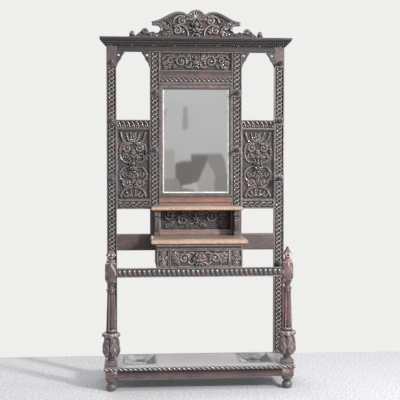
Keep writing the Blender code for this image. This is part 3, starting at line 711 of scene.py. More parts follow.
def silver_material():
    """Old mirror silvering, a little clouded and foxed in spots."""
    nodes = new_material("mirror_silver")
    cloud = nodes.noise(nodes.place(), 9.0, 3.0)
    spots = nodes.noise(nodes.place(), 160.0, 3.0)
    clear = nodes.mix(nodes.spread(cloud, 0.3, 0.7), shade(232, 234, 235), shade(236, 238, 238))
    speck = nodes.math("MULTIPLY", nodes.spread(spots, 0.70, 0.78), nodes.spread(cloud, 0.5, 0.7))
    colour = nodes.mix(speck, clear, shade(96, 92, 88))
    rough = nodes.spread(speck, 0.0, 1.0, 0.02, 0.4)
    nodes.shader.inputs["Metallic"].default_value = 1.0
    return nodes.connect(base_color=colour, roughness=rough)


def bevel_material():
    """The ground strip round the mirror, pale with a painted highlight that stands in for the bevel's
    reflection.
    """
    nodes = new_material("mirror_bevel")
    painted_glint_noise = nodes.noise(nodes.place(), 30.0, 3.0)
    colour = nodes.mix(nodes.spread(painted_glint_noise, 0.3, 0.7), shade(176, 182, 178), shade(208, 212, 208))
    nodes.shader.inputs["Metallic"].default_value = 0.1
    return nodes.connect(base_color=colour, roughness=nodes.spread(painted_glint_noise, 0.3, 0.7, 0.25, 0.45))


def zinc_material():
    """Dull pressed zinc with stains and small scratches, and painted shade in its creases and on its walls.
    """
    nodes = new_material("zinc")
    stain_and_shade = nodes.noise(nodes.place(), 24.0, 5.0, 0.65)
    scratch = nodes.noise(nodes.place((160.0, 14.0, 14.0)), 3.0, 4.0)
    colour = nodes.mix(nodes.spread(stain_and_shade, 0.35, 0.65), shade(116, 116, 120), shade(170, 171, 176))
    # painted shade in the creases, where the surface dips below its surroundings
    colour = nodes.mix(nodes.spread(nodes.attribute("standout"), 0.25, 0.50), shade(30, 30, 32), colour)
    # painted shade on the tray walls, set by the depth attribute
    colour = nodes.mix(nodes.spread(nodes.attribute("depth"), 0.0, 0.9), shade(44, 44, 46), colour)
    rough = nodes.spread(stain_and_shade, 0.3, 0.7, 0.38, 0.55)
    nodes.shader.inputs["Metallic"].default_value = 0.15
    return nodes.connect(base_color=colour, roughness=rough, normal=nodes.bump(scratch, 0.15, 0.0004))


DEAL = deal_material()
SILVER = silver_material()
BEVEL = bevel_material()
ZINC = zinc_material()


# ------------------------------------------------------------------ carving
def mask(relief, x, z, width, height, lift, ground=0.0, mane=12):
    """A lion-like grotesque: mane, brows, eyes, broad nose, muzzle and chin."""

    def dome(dx, dz, rx, rz, share):
        relief.dome(x + dx * width, z + dz * height, rx * width, rz * height, share * lift, ground)

    for i in range(mane):
        angle = 2 * math.pi * (i + 0.5) / mane
        long = 0.55 if i % 2 else 0.47
        root = (x + 0.26 * width * math.cos(angle), z + 0.28 * height * math.sin(angle))
        tip = (x + long * width * math.cos(angle + 0.16), z + long * height * math.sin(angle + 0.16))
        relief.stroke(bowed(root, tip, 0.12, 6), 0.17 * width, 0.34 * lift, 0.08 * width, ground)
    dome(0.0, 0.03, 0.35, 0.40, 0.70)
    dome(0.0, 0.25, 0.22, 0.15, 0.80)
    for side in (-1, 1):
        brow = [(x + side * 0.05 * width, z + 0.13 * height), (x + side * 0.17 * width, z + 0.20 * height),
                (x + side * 0.29 * width, z + 0.12 * height)]
        dome(side * 0.31, 0.29, 0.09, 0.10, 0.66)
        dome(side * 0.19, -0.07, 0.13, 0.12, 0.80)
        relief.pit(x + side * 0.16 * width, z + 0.07 * height, 0.12 * width, 0.085 * height, 0.60 * lift)
        dome(side * 0.155, 0.065, 0.055, 0.042, 0.62)
        relief.stroke(curve(brow, 4), 0.11 * width, 0.86 * lift, 0.06 * width, ground)
        dome(side * 0.10, -0.17, 0.12, 0.09, 0.92)
    ridge = [(x, z + 0.16 * height), (x, z - 0.08 * height)]
    relief.stroke(ridge, 0.11 * width, 0.9 * lift, 0.20 * width, ground)
    dome(0.0, -0.09, 0.10, 0.06, 1.0)
    dome(0.0, -0.34, 0.12, 0.10, 0.72)
    relief.pit(x, z - 0.25 * height, 0.16 * width, 0.045 * height, 0.5 * lift)


def carve_side_panel(relief):
    """Palmettes above and below, volutes and C scrolls at the sides, a mask in the middle."""
    cx, cz = relief.middle
    lift = CARVE_DEPTH
    relief.frame_edge(0.004, 0.010, lift * 0.85)
    # (points, width, end width) of the right half's strands
    strands = (
        (curve([(0.010, 0.130), (0.042, 0.134), (0.064, 0.156), (0.076, 0.194)]), 0.013, 0.020),
        (curve([(0.008, 0.140), (0.028, 0.152), (0.042, 0.194)]), 0.016, 0.010),
        (curve([(0.004, 0.142), (0.012, 0.162), (0.014, 0.196)]), 0.014, 0.009),
        (spiral(0.036, 0.101, 0.027, 110, -1.4, 0.16), 0.019, 0.011),
        (curve([(0.050, 0.132), (0.072, 0.120), (0.081, 0.090)]), 0.009, 0.018),
        (curve([(0.081, 0.090), (0.079, 0.052), (0.058, 0.020), (0.030, 0.012)]), 0.019, 0.010),
        (spiral(0.046, 0.050, 0.019, 330, 1.1, 0.20), 0.014, 0.009),
        (curve([(0.026, -0.010), (0.058, -0.020), (0.080, -0.048)]), 0.009, 0.020),
        (curve([(0.080, -0.048), (0.079, -0.080), (0.056, -0.106)]), 0.020, 0.014),
        (spiral(0.037, -0.112, 0.026, 20, -1.4, 0.16), 0.018, 0.010),
        (spiral(0.050, -0.062, 0.016, 40, -1.0, 0.20), 0.013, 0.009),
        (curve([(0.008, -0.140), (0.040, -0.146), (0.064, -0.164), (0.077, -0.196)]), 0.012, 0.020),
        (curve([(0.014, -0.194), (0.034, -0.182), (0.044, -0.164)]), 0.015, 0.009),
        (curve([(0.008, -0.192), (0.014, -0.172), (0.016, -0.154)]), 0.014, 0.008),
        (curve([(0.034, -0.198), (0.052, -0.194), (0.062, -0.184)]), 0.013, 0.008),
    )
    for side, at in halves(cx, cz):
        for line, width, end_width in strands:
            relief.scroll(at(line), width, lift, end_width)
        relief.dome(cx + side * 0.036, cz + 0.101, 0.009, 0.009, lift * 1.05)
        relief.dome(cx + side * 0.037, cz - 0.112, 0.009, 0.009, lift * 1.05)
        relief.leaf(at((0.008, 0.062)), at((0.030, 0.030)), 0.030, lift, side * 0.15)
        relief.leaf(at((0.010, -0.052)), at((0.026, -0.086)), 0.026, lift, side * 0.15)
    relief.leaf((cx, cz + 0.036), (cx, cz + 0.098), 0.034, lift * 1.05)
    relief.leaf((cx, cz - 0.062), (cx, cz - 0.120), 0.032, lift * 1.05)
    relief.leaf((cx, cz + 0.146), (cx, cz + 0.200), 0.026, lift)
    mask(relief, cx, cz - 0.014, 0.076, 0.088, 0.036)


def carve_running_leaf(relief, low, high, half):
    """The stiles' running ornament: a column of pellets on the left and one of linked
    crescents on the right, with deep commas between them."""
    count = int(round((high - low) / STILE_PITCH))
    pitch = (high - low) / count
    cx = relief.middle[0]

    def at(points, z):
        return [(cx + u * half, z + v * pitch) for u, v in points]

    crescent = [(-0.34, -0.46), (0.34, -0.30), (0.66, 0.06), (0.30, 0.36), (-0.10, 0.52)]
    for i in range(count):
        z = low + (i + 0.5) * pitch
        relief.dome(cx - 0.62 * half, z + 0.16 * pitch, 0.27 * half, 0.36 * pitch, EDGE_DEPTH)
        relief.stroke(curve(at(crescent, z), 5), 0.50 * half, EDGE_DEPTH, 0.20 * half)


def carve_stile(relief, low, high, peg_heights):
    """Running ornament between plain margins, with a plain block behind each peg."""
    margin = 0.0080
    block = 0.024
    cx = relief.middle[0]
    half = (relief.high[0] - relief.low[0]) / 2 - margin
    ends = [low] + [z + side * block for z in sorted(peg_heights) for side in (-1, 1)] + [high]
    plain = np.ones(relief.h.shape, bool)
    for start, end in zip(ends[::2], ends[1::2]):
        if end - start > STILE_PITCH:
            carve_running_leaf(relief, start, end, half)
            plain &= (relief.z < start) | (relief.z > end)
    relief.h = np.where(plain | (np.abs(relief.x - cx) > half), EDGE_DEPTH, relief.h)


def carve_frieze(relief):
    """Mask in the middle, ring scrolls beside it, and branching leaves at the ends."""
    cx, cz = relief.middle
    cz += 0.002
    lift = CARVE_DEPTH
    relief.frame_edge(0.003, 0.007, lift * 0.9)
    for side, at in halves(cx, cz):
        relief.scroll(at(spiral(0.092, 0.000, 0.037, 200, -1.5, 0.2, 44)), 0.019, lift, 0.012)
        relief.dome(*at((0.092, 0.0)), 0.010, 0.010, lift * 1.05)
        relief.scroll(at(curve([(0.028, -0.014), (0.040, -0.036), (0.062, -0.034)])), 0.018, lift, 0.014)
        branch = curve([(0.126, 0.026), (0.152, 0.038), (0.184, 0.034), (0.206, 0.012)])
        relief.scroll(at(branch), 0.018, lift, 0.012)
        relief.scroll(at(spiral(0.156, 0.004, 0.020, 120, -1.2)), 0.016, lift, 0.010)
        relief.leaf(at((0.150, -0.022)), at((0.206, -0.042)), 0.034, lift, side * -0.1)
        relief.leaf(at((0.178, 0.000)), at((0.208, -0.018)), 0.030, lift, 0.0)
        relief.leaf(at((0.034, 0.008)), at((0.056, 0.044)), 0.032, lift, side * 0.1)
        relief.leaf(at((0.124, -0.020)), at((0.140, -0.044)), 0.026, lift, 0.0, 2)
        relief.dome(*at((0.186, -0.036)), 0.007, 0.007, lift)
    mask(relief, cx, cz, 0.066, 0.090, 0.026)


def carve_niche(relief):
    """A small mask between an S scroll on the left and a ring scroll on the right."""
    cx, cz = relief.middle
    cz += 0.004
    lift = CARVE_DEPTH
    relief.frame_edge(0.003, 0.006, lift * 0.9)
    left = cx - 0.095
    right = cx + 0.095
    relief.scroll(spiral(left + 0.014, cz - 0.020, 0.032, 60, 1.4), 0.018, lift, 0.011)
    snake = np.array([(0.030, 0.008), (0.0, 0.044), (-0.042, 0.034), (-0.058, -0.010)])
    relief.scroll(curve(snake + (left, cz)), 0.018, lift, 0.013)
    relief.scroll(spiral(left - 0.068, cz + 0.014, 0.030, 200, 1.3), 0.018, lift, 0.011)
    relief.scroll(spiral(right, cz, 0.040, 150, -1.6, 0.18, 48), 0.019, lift, 0.012)
    relief.dome(right, cz, 0.011, 0.011, lift * 1.05)
    crown = curve([(right + 0.040, cz + 0.034), (right + 0.070, cz + 0.052), (right + 0.100, cz + 0.030)])
    relief.scroll(crown, 0.018, lift, 0.011)
    relief.leaf((right + 0.046, cz - 0.002), (right + 0.106, cz + 0.014), 0.040, lift, 0.15)
    relief.leaf((right + 0.042, cz - 0.030), (right + 0.104, cz - 0.050), 0.036, lift, -0.1)
    relief.leaf((left - 0.042, cz - 0.030), (left - 0.104, cz - 0.052), 0.036, lift, 0.1)
    for side in (-1, 1):
        relief.leaf((cx + side * 0.034, cz + 0.006), (cx + side * 0.058, cz + 0.052), 0.034, lift, side * 0.1)
        relief.leaf((cx + side * 0.020, cz - 0.044), (cx + side * 0.066, cz - 0.062), 0.030, lift, side * 0.1)
        relief.dome(cx + side * 0.186, cz - 0.064, 0.008, 0.008, lift)
    relief.leaf((cx, cz + 0.034), (cx, cz + 0.072), 0.036, lift * 1.05)
    mask(relief, cx, cz - 0.002, 0.068, 0.098, 0.030)


def carve_drawer(relief):
    """A fillet border round scrolling leaves that spring from the middle."""
    cx, cz = relief.middle
    lift = DRAWER_DEPTH
    relief.frame_edge(0.005, 0.004, lift)
    for side, at in halves(cx, cz):
        relief.scroll(at(spiral(0.092, 0.000, 0.031, 190, -1.3)), 0.018, lift, 0.012)
        relief.dome(*at((0.092, 0.0)), 0.009, 0.009, lift)
        relief.scroll(at(curve([(0.034, -0.026), (0.050, -0.036), (0.066, -0.022)])), 0.016, lift, 0.014)
        relief.scroll(at(curve([(0.036, 0.030), (0.050, 0.036), (0.064, 0.024)])), 0.014, lift, 0.011)
        relief.leaf(at((0.124, -0.034)), at((0.168, 0.034)), 0.048, lift, side * 0.08, 4)
        relief.leaf(at((0.126, 0.012)), at((0.142, 0.036)), 0.026, lift, 0.0, 2)


def carve_rosette(relief, x, z, radius, lift, petals):
    """A small open flower with a boss in its middle."""
    for i in range(petals):
        angle = 2 * math.pi * i / petals
        tip = (x + radius * math.cos(angle), z + radius * math.sin(angle))
        relief.stroke([(x, z), ((x + tip[0]) / 2, (z + tip[1]) / 2), tip], radius * 0.34, lift, radius * 0.50)
    relief.dome(x, z, radius * 0.26, radius * 0.26, lift * 1.25)


def rail_units(relief, count):
    """Edge a rail, and give its middle height, half height, pitch and the units' places."""
    end = 0.005
    half = (relief.high[1] - relief.low[1]) / 2 - 0.009
    pitch = (relief.high[0] - relief.low[0] - 2 * end) / count
    relief.frame_edge(0.006, 0.003, EDGE_DEPTH)
    return relief.middle[1], half, pitch, relief.low[0] + end + (np.arange(count) + 0.5) * pitch


def carve_leaf_chain(relief, count):
    """A chain of plump leaves leaning one way along a rail."""
    cz, half, pitch, places = rail_units(relief, count)
    for x in places:
        blade = np.array([(-0.36, 0.9), (-0.02, 0.3), (0.26, -0.8)]) * (pitch, half) + (x, cz)
        relief.stroke(curve(blade, 5), pitch * 0.56, EDGE_DEPTH, pitch * 0.30)
        relief.dome(x - pitch * 0.28, cz - half * 0.55, pitch * 0.20, half * 0.36, EDGE_DEPTH)


def carve_links(relief, count):
    """Long leaning links laid end to end along a rail."""
    cz, half, pitch, places = rail_units(relief, count)
    for x in places:
        upper = np.array([(-0.44, 0.2), (-0.20, 0.62), (0.16, 0.50)]) * (pitch, half) + (x, cz)
        lower = np.array([(-0.18, -0.42), (0.18, -0.62), (0.44, -0.1)]) * (pitch, half) + (x, cz)
        relief.stroke(curve(upper, 5), half * 0.78, EDGE_DEPTH, half * 0.50)
        relief.stroke(curve(lower, 5), half * 0.50, EDGE_DEPTH, half * 0.78)


# -------------------------------------------------------------------- pieces
def centre_of(node):
    low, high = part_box(node)
    return tuple((a + b) / 2 for a, b in zip(low, high))


def finish_node(node, material):
    """Give a CAD node that stays a finished material."""
    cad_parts[node].data.materials.clear()
    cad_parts[node].data.materials.append(material)


def face_of(node):
    """The x and z corners of a CAD node's front face, with its front and back."""
    low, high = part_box(node)
    return (low.x, low.z), (high.x, high.z), low.y, high.y


def build_crest():
    """The swan-neck crest: rim band, scrolls, flowers, mask and shell."""
    low, high, _, back = face_of("crest_board")
    front = back - 0.032
    relief = Relief(low, high, 0.0018)
    inside, near = inside_distance(relief.x, relief.z, boundary_of("crest_board", back))
    lift = CARVE_DEPTH
    upper = smooth_step(relief.z, low[1] + 0.030, low[1] + 0.044)
    across = np.clip((inside - 0.0080) / 0.0090, -1, 1)
    band = lift * (0.45 + 0.55 * np.sqrt(1 - across ** 2)) * (inside < 0.017) * upper
    relief.h = np.maximum(band, relief.h)
    relief.h = np.maximum(relief.h, lift * 0.75 * (relief.z < low[1] + 0.006))
    for side, at in halves(0.0, 0.0):
        relief.stroke(at(spiral(0.0855, 2.206, 0.026, 110, -1.35)), 0.018, lift, 0.011)
        relief.dome(*at((0.0855, 2.206)), 0.009, 0.009, lift * 1.05)
        brow = curve([(0.074, 2.232), (0.104, 2.236), (0.132, 2.220), (0.140, 2.196)])
        relief.stroke(at(brow), 0.017, lift, 0.012)
        relief.stroke(at(spiral(0.118, 2.148, 0.026, 60, 1.3)), 0.018, lift, 0.011)
        relief.dome(*at((0.118, 2.148)), 0.008, 0.008, lift * 1.05)
        stem = curve([(0.132, 2.170), (0.100, 2.182), (0.068, 2.168), (0.052, 2.140), (0.050, 2.116)])
        relief.stroke(at(stem), 0.017, lift, 0.012)
        carve_rosette(relief, side * 0.160, 2.188, 0.019, lift, 5)
        relief.leaf(at((0.150, 2.136)), at((0.206, 2.170)), 0.040, lift, side * 0.15)
        relief.leaf(at((0.150, 2.122)), at((0.214, 2.126)), 0.030, lift)
        relief.leaf(at((0.184, 2.176)), at((0.230, 2.190)), 0.032, lift, side * 0.12)
        relief.leaf(at((0.084, 2.128)), at((0.084, 2.160)), 0.030, lift, 0.0, 2)
        relief.stroke(at(spiral(0.313, 2.138, 0.0165, 200, -1.3)), 0.011, lift, 0.008)
        relief.dome(*at((0.313, 2.138)), 0.007, 0.007, lift * 1.05)
        relief.leaf(at((0.290, 2.120)), at((0.236, 2.116)), 0.026, lift, 0.0, 2)
        relief.dome(*at((0.3934, 2.129)), 0.014, 0.014, lift * 1.2)
        relief.leaf(at((0.336, 2.116)), at((0.374, 2.112)), 0.020, lift, 0.0, 2)
    for i in range(9):
        angle = math.radians(90 + (i - 4) * 21)
        tip = (0.056 * math.cos(angle), 2.212 + 0.056 * math.sin(angle))
        relief.stroke([(0.014 * math.cos(angle), 2.212 + 0.010 * math.sin(angle)), tip], 0.012, lift, 0.023)
    mask(relief, 0.0, 2.158, 0.086, 0.100, 0.042)
    relief.h = np.where(inside < 0.002, np.minimum(relief.h, lift * 0.8), relief.h)
    mesh = carved_plate(relief, near, inside, front + SINK, back)
    piece("crest", mesh, OAK_ACROSS, ["crest_board"])


def build_cornice():
    """Thin fascia over a straight splay with two rows of dashes, and pellets under it."""
    low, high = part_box("cornice_board")
    half = high.x
    front = low.y
    levels = [
        (low.z, half - 0.006, front + 0.006, 0.1),
        (low.z + 0.0055, half - 0.005, front + 0.005, 0.1),
        (low.z + 0.0060, half, front, 0.35),
        (high.z, half, front, 0.35),
    ]
    piece("cornice_fascia", stacked(levels, high.y), SHADED_ACROSS, ["cornice_board"])

    low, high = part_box("cornice_moulding")
    depth = 0.005
    rise = high.z - low.z
    relief = Relief((-CORNICE_FOOT_HALF, low.z), (CORNICE_FOOT_HALF, high.z), FINE)
    relief.rope(low.z + 0.010, 0.0042, depth, 0.0125, 0.4)
    relief.rope(low.z + 0.022, 0.0042, depth, 0.0125, 0.4)
    relief.h = np.maximum(relief.h, depth * (relief.z < low.z + 0.003))
    mesh = carved_board(relief, CORNICE_FOOT_FRONT + depth, high.y, 2.2 * depth)
    spread = high.x / CORNICE_FOOT_HALF - 1
    for vertex in mesh.vertices:
        up = (vertex.co.z - low.z) / rise
        vertex.co.x *= 1 + spread * up
        if vertex.co.y < high.y - 0.001:
            vertex.co.y -= (CORNICE_FOOT_FRONT - low.y) * up
    piece("cornice_splay", mesh, SHADED_ACROSS, ["cornice_moulding"])

    spacing = 0.131
    profile = [(0.0006, 0.0042), (0.0024, 0.0038), (0.0036, 0.0022), (0.0038, 0.0), (0.0038, -0.003)]
    for i in range(9):
        place = ((i - 4) * spacing, CORNICE_FOOT_FRONT, low.z + 0.004)
        pellet = turned(profile, place, 20, 0.002, axis="y")
        piece(f"cornice_pellet_{i + 1}", pellet, TAN)


def build_stiles():
    """The four uprights, carved up to the brackets outside and above the ledge inside."""
    pegs = {"outer": ("low", "mid", "top"), "inner": ("low", "top")}
    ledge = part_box("upper_ledge")[0].z
    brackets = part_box("bracket_outer_left")[0].z
    for row, heights in pegs.items():
        for side, _ in SIDES:
            node = f"stile_{row}_{side}"
            low, high, front, back = face_of(node)
            relief = Relief(low, high, COARSE)
            centres = [centre_of(f"peg_{row}_{height}_{side}")[2] for height in heights]
            if row == "outer":
                carve_stile(relief, low[1] + 0.02, brackets, centres)
            else:
                carve_stile(relief, ledge, high[1] - 0.004, centres)
            mesh = carved_board(relief, front + EDGE_DEPTH, back, EDGE_DEPTH)
            piece(node + "_post", mesh, OAK_UP, [node])


def build_rails():
    """Top rail, back rail and the four rails of the side bays."""
    low, high, front, back = face_of("top_rail")
    relief = Relief(low, high, 0.003)
    off_middle = np.abs(relief.z - relief.middle[1])
    relief.h = 0.006 - 0.003 * smooth_step(off_middle, 0.0, high[1] - relief.middle[1])
    mesh = carved_board(relief, front + 0.006, back, 0.010)
    piece("head_rail", mesh, SHADED_ACROSS, ["top_rail"])

    low, high, front, back = face_of("back_rail")
    relief = Relief(low, high, 0.004)
    relief.h[:] = 0.004
    edge = np.minimum(relief.z - low[1], high[1] - relief.z)
    relief.h -= 0.002 * (1 - smooth_step(edge, 0.0, 0.006))
    mesh = carved_board(relief, front + 0.004, back, 0.004)
    piece("plain_back_rail", mesh, FRAME_ACROSS, ["back_rail"])

    for side, _ in SIDES:
        for row, carve, count in (("top", carve_leaf_chain, 7), ("low", carve_links, 5)):
            node = f"panel_rail_{row}_{side}"
            low, high, front, back = face_of(node)
            relief = Relief(low, high, FINE)
            carve(relief, count)
            mesh = carved_board(relief, front + EDGE_DEPTH, back, EDGE_DEPTH)
            piece(node + "_carved", mesh, OAK_ACROSS, [node])


def build_panels():
    """The two carved side panels and the frieze."""
    for side, _ in SIDES:
        node = f"side_panel_{side}"
        low, high, front, back = face_of(node)
        relief = Relief(low, high, FINE)
        carve_side_panel(relief)
        piece(node + "_carved", carved_board(relief, front + SINK, back), OAK_UP, [node])
    low, high, front, back = face_of("frieze_panel")
    relief = Relief(low, high, FINE)
    carve_frieze(relief)
    piece("frieze_carved", carved_board(relief, front + SINK, back), OAK_ACROSS, ["frieze_panel"])


def build_mirror():
    """Weathered rail with its rope, moulded frame, bevelled glass, backboard."""
    low, high, front, back = face_of("mirror_top_rail")
    relief = Relief(low, high, FINE)
    slope = smooth_step(relief.z, low[1] + 0.030, high[1] - 0.004)
    relief.h = 0.006 - 0.005 * slope
    rope_z = low[1] + 0.014
    relief.h = np.where(np.abs(relief.z - rope_z) < 0.0125, 0.0, relief.h)
    mesh = carved_board(relief, front + 0.006, back, 0.018)
    piece("mirror_head", mesh, FRAME_ACROSS, ["mirror_top_rail"])
    rope_half = 0.0122
    relief = Relief((low[0], rope_z - rope_half), (high[0], rope_z + rope_half), FINE)
    relief.rope(rope_z, 0.0120, 0.0096, ROPE_PITCH)
    piece("mirror_head_rope", carved_board(relief, front + 0.0098, front + 0.012, 0.010), OAK_ACROSS)

    low, high, front, _ = face_of("mirror_frame")
    section = [
        (0.0, 0.012), (0.0, 0.001), (0.08, 0.0), (0.30, 0.0), (0.34, 0.002), (0.42, 0.0025), (0.50, 0.0008),
        (0.62, 0.0006), (0.74, 0.003), (0.86, 0.0065), (0.93, 0.0075), (0.97, 0.009), (1.0, 0.0115),
        (1.0, 0.012),
    ]
    mesh = swept_frame((low, high), (SIGHT_LOW, SIGHT_HIGH), front, section)
    piece("mirror_moulding", mesh, FRAME_ACROSS, ["mirror_frame"])

    low, high, front, back = face_of("mirror_glass")

    def inside_glass(inset):
        return (low[0] + inset, low[1] + inset), (high[0] - inset, high[1] - inset)

    bevel = 0.022
    thin = 0.0022
    levels = [
        [(x, y, z) for x, z in corners_of(*inside_glass(inset))]
        for inset, y in ((0.0, back), (0.0, front + thin), (bevel, front))
    ]
    mesh = loft(np.array(levels), sharp=1.0)
    piece("mirror_plate", mesh, SILVER, ["mirror_glass"])
    inset = 0.0105
    wide = 0.0155
    section = [(0.0, 0.0), (0.0, -0.0016), (0.9, -0.0024), (1.0, -0.0004), (1.0, 0.0)]
    mesh = swept_frame(inside_glass(inset), inside_glass(inset + wide), front + 0.0008, section)
    # a pale strip over the glass's bevelled edge: painted highlight
    piece("mirror_bevel", mesh, BEVEL)
    finish_node("mirror_backboard", DEAL)


def build_niche():
    """Ledge rail, carved niche panel with its sill, and the two moulded shelves."""
    low, high, front, back = face_of("ledge_rail")
    relief = Relief(low, high, 0.0025)
    edge = relief.z - low[1]
    relief.h = 0.004 + 0.005 * smooth_step(edge, 0.012, 0.020) - 0.006 * smooth_step(edge, 0.036, 0.050)
    mesh = carved_board(relief, front + 0.009, back, 0.009)
    tone_by_height(mesh, low[1] + 0.065, low[1], -0.20, 0.7)
    piece("ledge_back_rail", mesh, WARM, ["ledge_rail"])

    low, high, front, back = face_of("niche_panel")
    relief = Relief((low[0], NICHE_FACE_LOW), high, FINE)
    carve_niche(relief)
    piece("niche_carved", carved_board(relief, NICHE_FACE + SINK, back), OAK_ACROSS, ["niche_panel"])
    sill = [
        (back, low[1]), (front, low[1]), (front, low[1] + 0.004), (NICHE_FACE, NICHE_FACE_LOW),
        (back, NICHE_FACE_LOW),
    ]
    rings = [[(x, y, z) for y, z in sill] for x in (low[0], high[0])]
    piece("niche_sill", loft(np.array(rings)), WARM)

    # (share of the height, inset, tone) up the shelves' moulded edge; the low tones at its undercut foot are
    # painted shade
    edge = (
        (0.00, 0.016, -0.3), (0.10, 0.014, -0.2), (0.15, 0.004, 0.1), (0.24, 0.001, 0.4), (0.42, 0.0, 0.6),
        (0.60, 0.001, 0.8), (0.78, 0.005, 1.0), (0.92, 0.010, 1.0), (1.00, 0.018, 1.0), (1.00, 0.026, 1.0),
    )
    for name, node in (("moulded_ledge", "upper_ledge"), ("moulded_shelf", "lower_shelf")):
        low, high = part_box(node)
        tall = high.z - low.z
        levels = [
            (low.z + tall * share, high.x - inset, low.y + inset, tone) for share, inset, tone in edge
        ]
        piece(name, stacked(levels, high.y), TAN, [node])


def build_pilaster(side):
    """A small reeded pier with a cap and a base."""
    node = f"pilaster_{side}"
    low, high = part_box(node)
    half_x = (high.x - low.x) / 2
    cx = centre_of(node)[0]
    tall = high.z - low.z
    across = np.linspace(-1, 1, 25)
    reeds = 0.0022 * np.abs(np.sin(across * math.pi * 2)) ** 0.6
    # (share of the height, inset, 1 where it is reeded)
    sections = (
        (0.00, 0.000, 0), (0.16, 0.000, 0), (0.17, 0.003, 0), (0.20, 0.004, 0), (0.21, 0.005, 1),
        (0.45, 0.005, 1), (0.68, 0.005, 1), (0.69, 0.004, 0), (0.72, 0.002, 0), (0.77, 0.006, 0),
        (0.79, 0.001, 0), (0.82, 0.000, 1), (0.92, 0.000, 1), (0.94, 0.002, 0), (1.00, 0.002, 0),
    )
    rings = []
    for share, inset, reeded in sections:
        z = low.z + tall * share
        width = half_x - inset * 0.6
        front = low.y + 0.0025 + inset
        face = [(cx + u * width, front - reeded * r, z) for u, r in zip(across, reeds)]
        rings.append(face + [(cx + width, high.y, z), (cx - width, high.y, z)])
    piece(node + "_reeded", loft(np.array(rings), sharp=35.0), FRAME_UP, [node])


def build_case():
    """Drawer case: carved front blocks, sides, bottom, and the moulded rail above."""
    low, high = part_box("case_rail")
    # the last value, the depth, is lowest in the recessed groove and at the top under the shelf: painted
    # shade
    levels = [
        (low.z, high.x - 0.008, low.y + 0.010, 0.5),
        (low.z + 0.003, high.x - 0.006, low.y + 0.008, 0.8),
        (low.z + 0.009, high.x - 0.005, low.y + 0.006, 0.8),
        (low.z + 0.012, high.x - 0.008, low.y + 0.009, 0.15),
        (low.z + 0.018, high.x - 0.004, low.y + 0.004, 0.5),
        (low.z + 0.024, high.x, low.y, 0.7),
        (high.z, high.x, low.y, 0.3),
    ]
    piece("case_moulding", stacked(levels, high.y), FRAME_ACROSS, ["case_rail"])
    rail_low = low
    rail_high = high
    for side, sign in SIDES:
        node = f"case_side_{side}"
        low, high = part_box(node)
        relief = Relief((low.x, low.z), (high.x, rail_low.z - GAP), 0.0014)
        cx, cz = relief.middle
        relief.frame_edge(0.004, 0.003, 0.008)
        relief.leaf((cx, cz + 0.004), (cx, cz + 0.048), 0.038, 0.009, 0.0, 3)
        relief.leaf((cx, cz - 0.006), (cx, cz - 0.050), 0.038, 0.009, 0.0, 3)
        for flank in (-1, 1):
            relief.scroll(spiral(cx + flank * 0.017, cz, 0.011, 90, -1.1 * flank), 0.009, 0.009, 0.006)
        relief.dome(cx, cz, 0.007, 0.007, 0.010)
        mesh = carved_board(relief, low.y + 0.010, low.y + 0.025, 0.008)
        piece(f"case_block_{side}", mesh, OAK_UP, [node])
        x = sorted((sign * (rail_high.x - 0.018), sign * rail_high.x))
        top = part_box("lower_shelf")[0].z - GAP
        board = plain_board((x[0], rail_high.y + GAP, low.z), (x[1], high.y, top))
        piece(f"case_board_{side}", board, FRAME_ACROSS)
    piece("case_floor", eased("case_bottom", 0.001), FRAME_ACROSS, ["case_bottom"])


def build_drawer():
    """The carved drawer front, its mask pull, and the plain box behind."""
    low, high, front, back = face_of("drawer_front")
    relief = Relief(low, high, 0.0014)
    carve_drawer(relief)
    mesh = carved_board(relief, front + DRAWER_DEPTH, back, DRAWER_DEPTH)
    piece("drawer_carved_front", mesh, OAK_ACROSS, ["drawer_front"], "drawer")

    low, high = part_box("drawer_pull")
    cx, _, cz = centre_of("drawer_pull")
    width = high.x - low.x
    relief = Relief((low.x - 0.006, low.z - 0.010), (high.x + 0.006, high.z + 0.006), 0.0011)
    angle = np.linspace(0, 2 * math.pi, 49)
    lobes = 1 + 0.07 * np.cos(6 * angle)
    rim_x = cx + (width / 2 + 0.003) * lobes * np.cos(angle)
    rim_z = cz - 0.001 + (width / 2 + 0.004) * lobes * np.sin(angle)
    rim = np.stack([rim_x, rim_z], axis=1)
    edges = np.stack([rim[:-1], rim[1:]], axis=1)
    inside, near = inside_distance(relief.x, relief.z, edges)
    relief.h = 0.004 * smooth_step(inside, 0.0, 0.003)
    mask(relief, cx, cz - 0.002, width * 0.98, width * 1.04, 0.026, 0.003)
    mesh = carved_plate(relief, near, inside, high.y - 0.002, high.y, 0.026)
    piece("drawer_mask_pull", mesh, RED_UP, ["drawer_pull"], "drawer")
    finish_node("drawer_box", DEAL)


def build_brackets():
    """Pierced corner brackets in the two side bays."""
    for row in ("inner", "outer"):
        for side, _ in SIDES:
            node = f"bracket_{row}_{side}"
            low, high, front, back = face_of(node)
            relief = Relief(low, high, 0.0011)
            inside, near = inside_distance(relief.x, relief.z, boundary_of(node, back))
            relief.h = 0.002 * smooth_step(inside, 0.0004, 0.0035)
            mesh = carved_plate(relief, near, inside, front + 0.002, back, 0.002)
            piece(node + "_pierced", mesh, SHADED_ACROSS, [node])


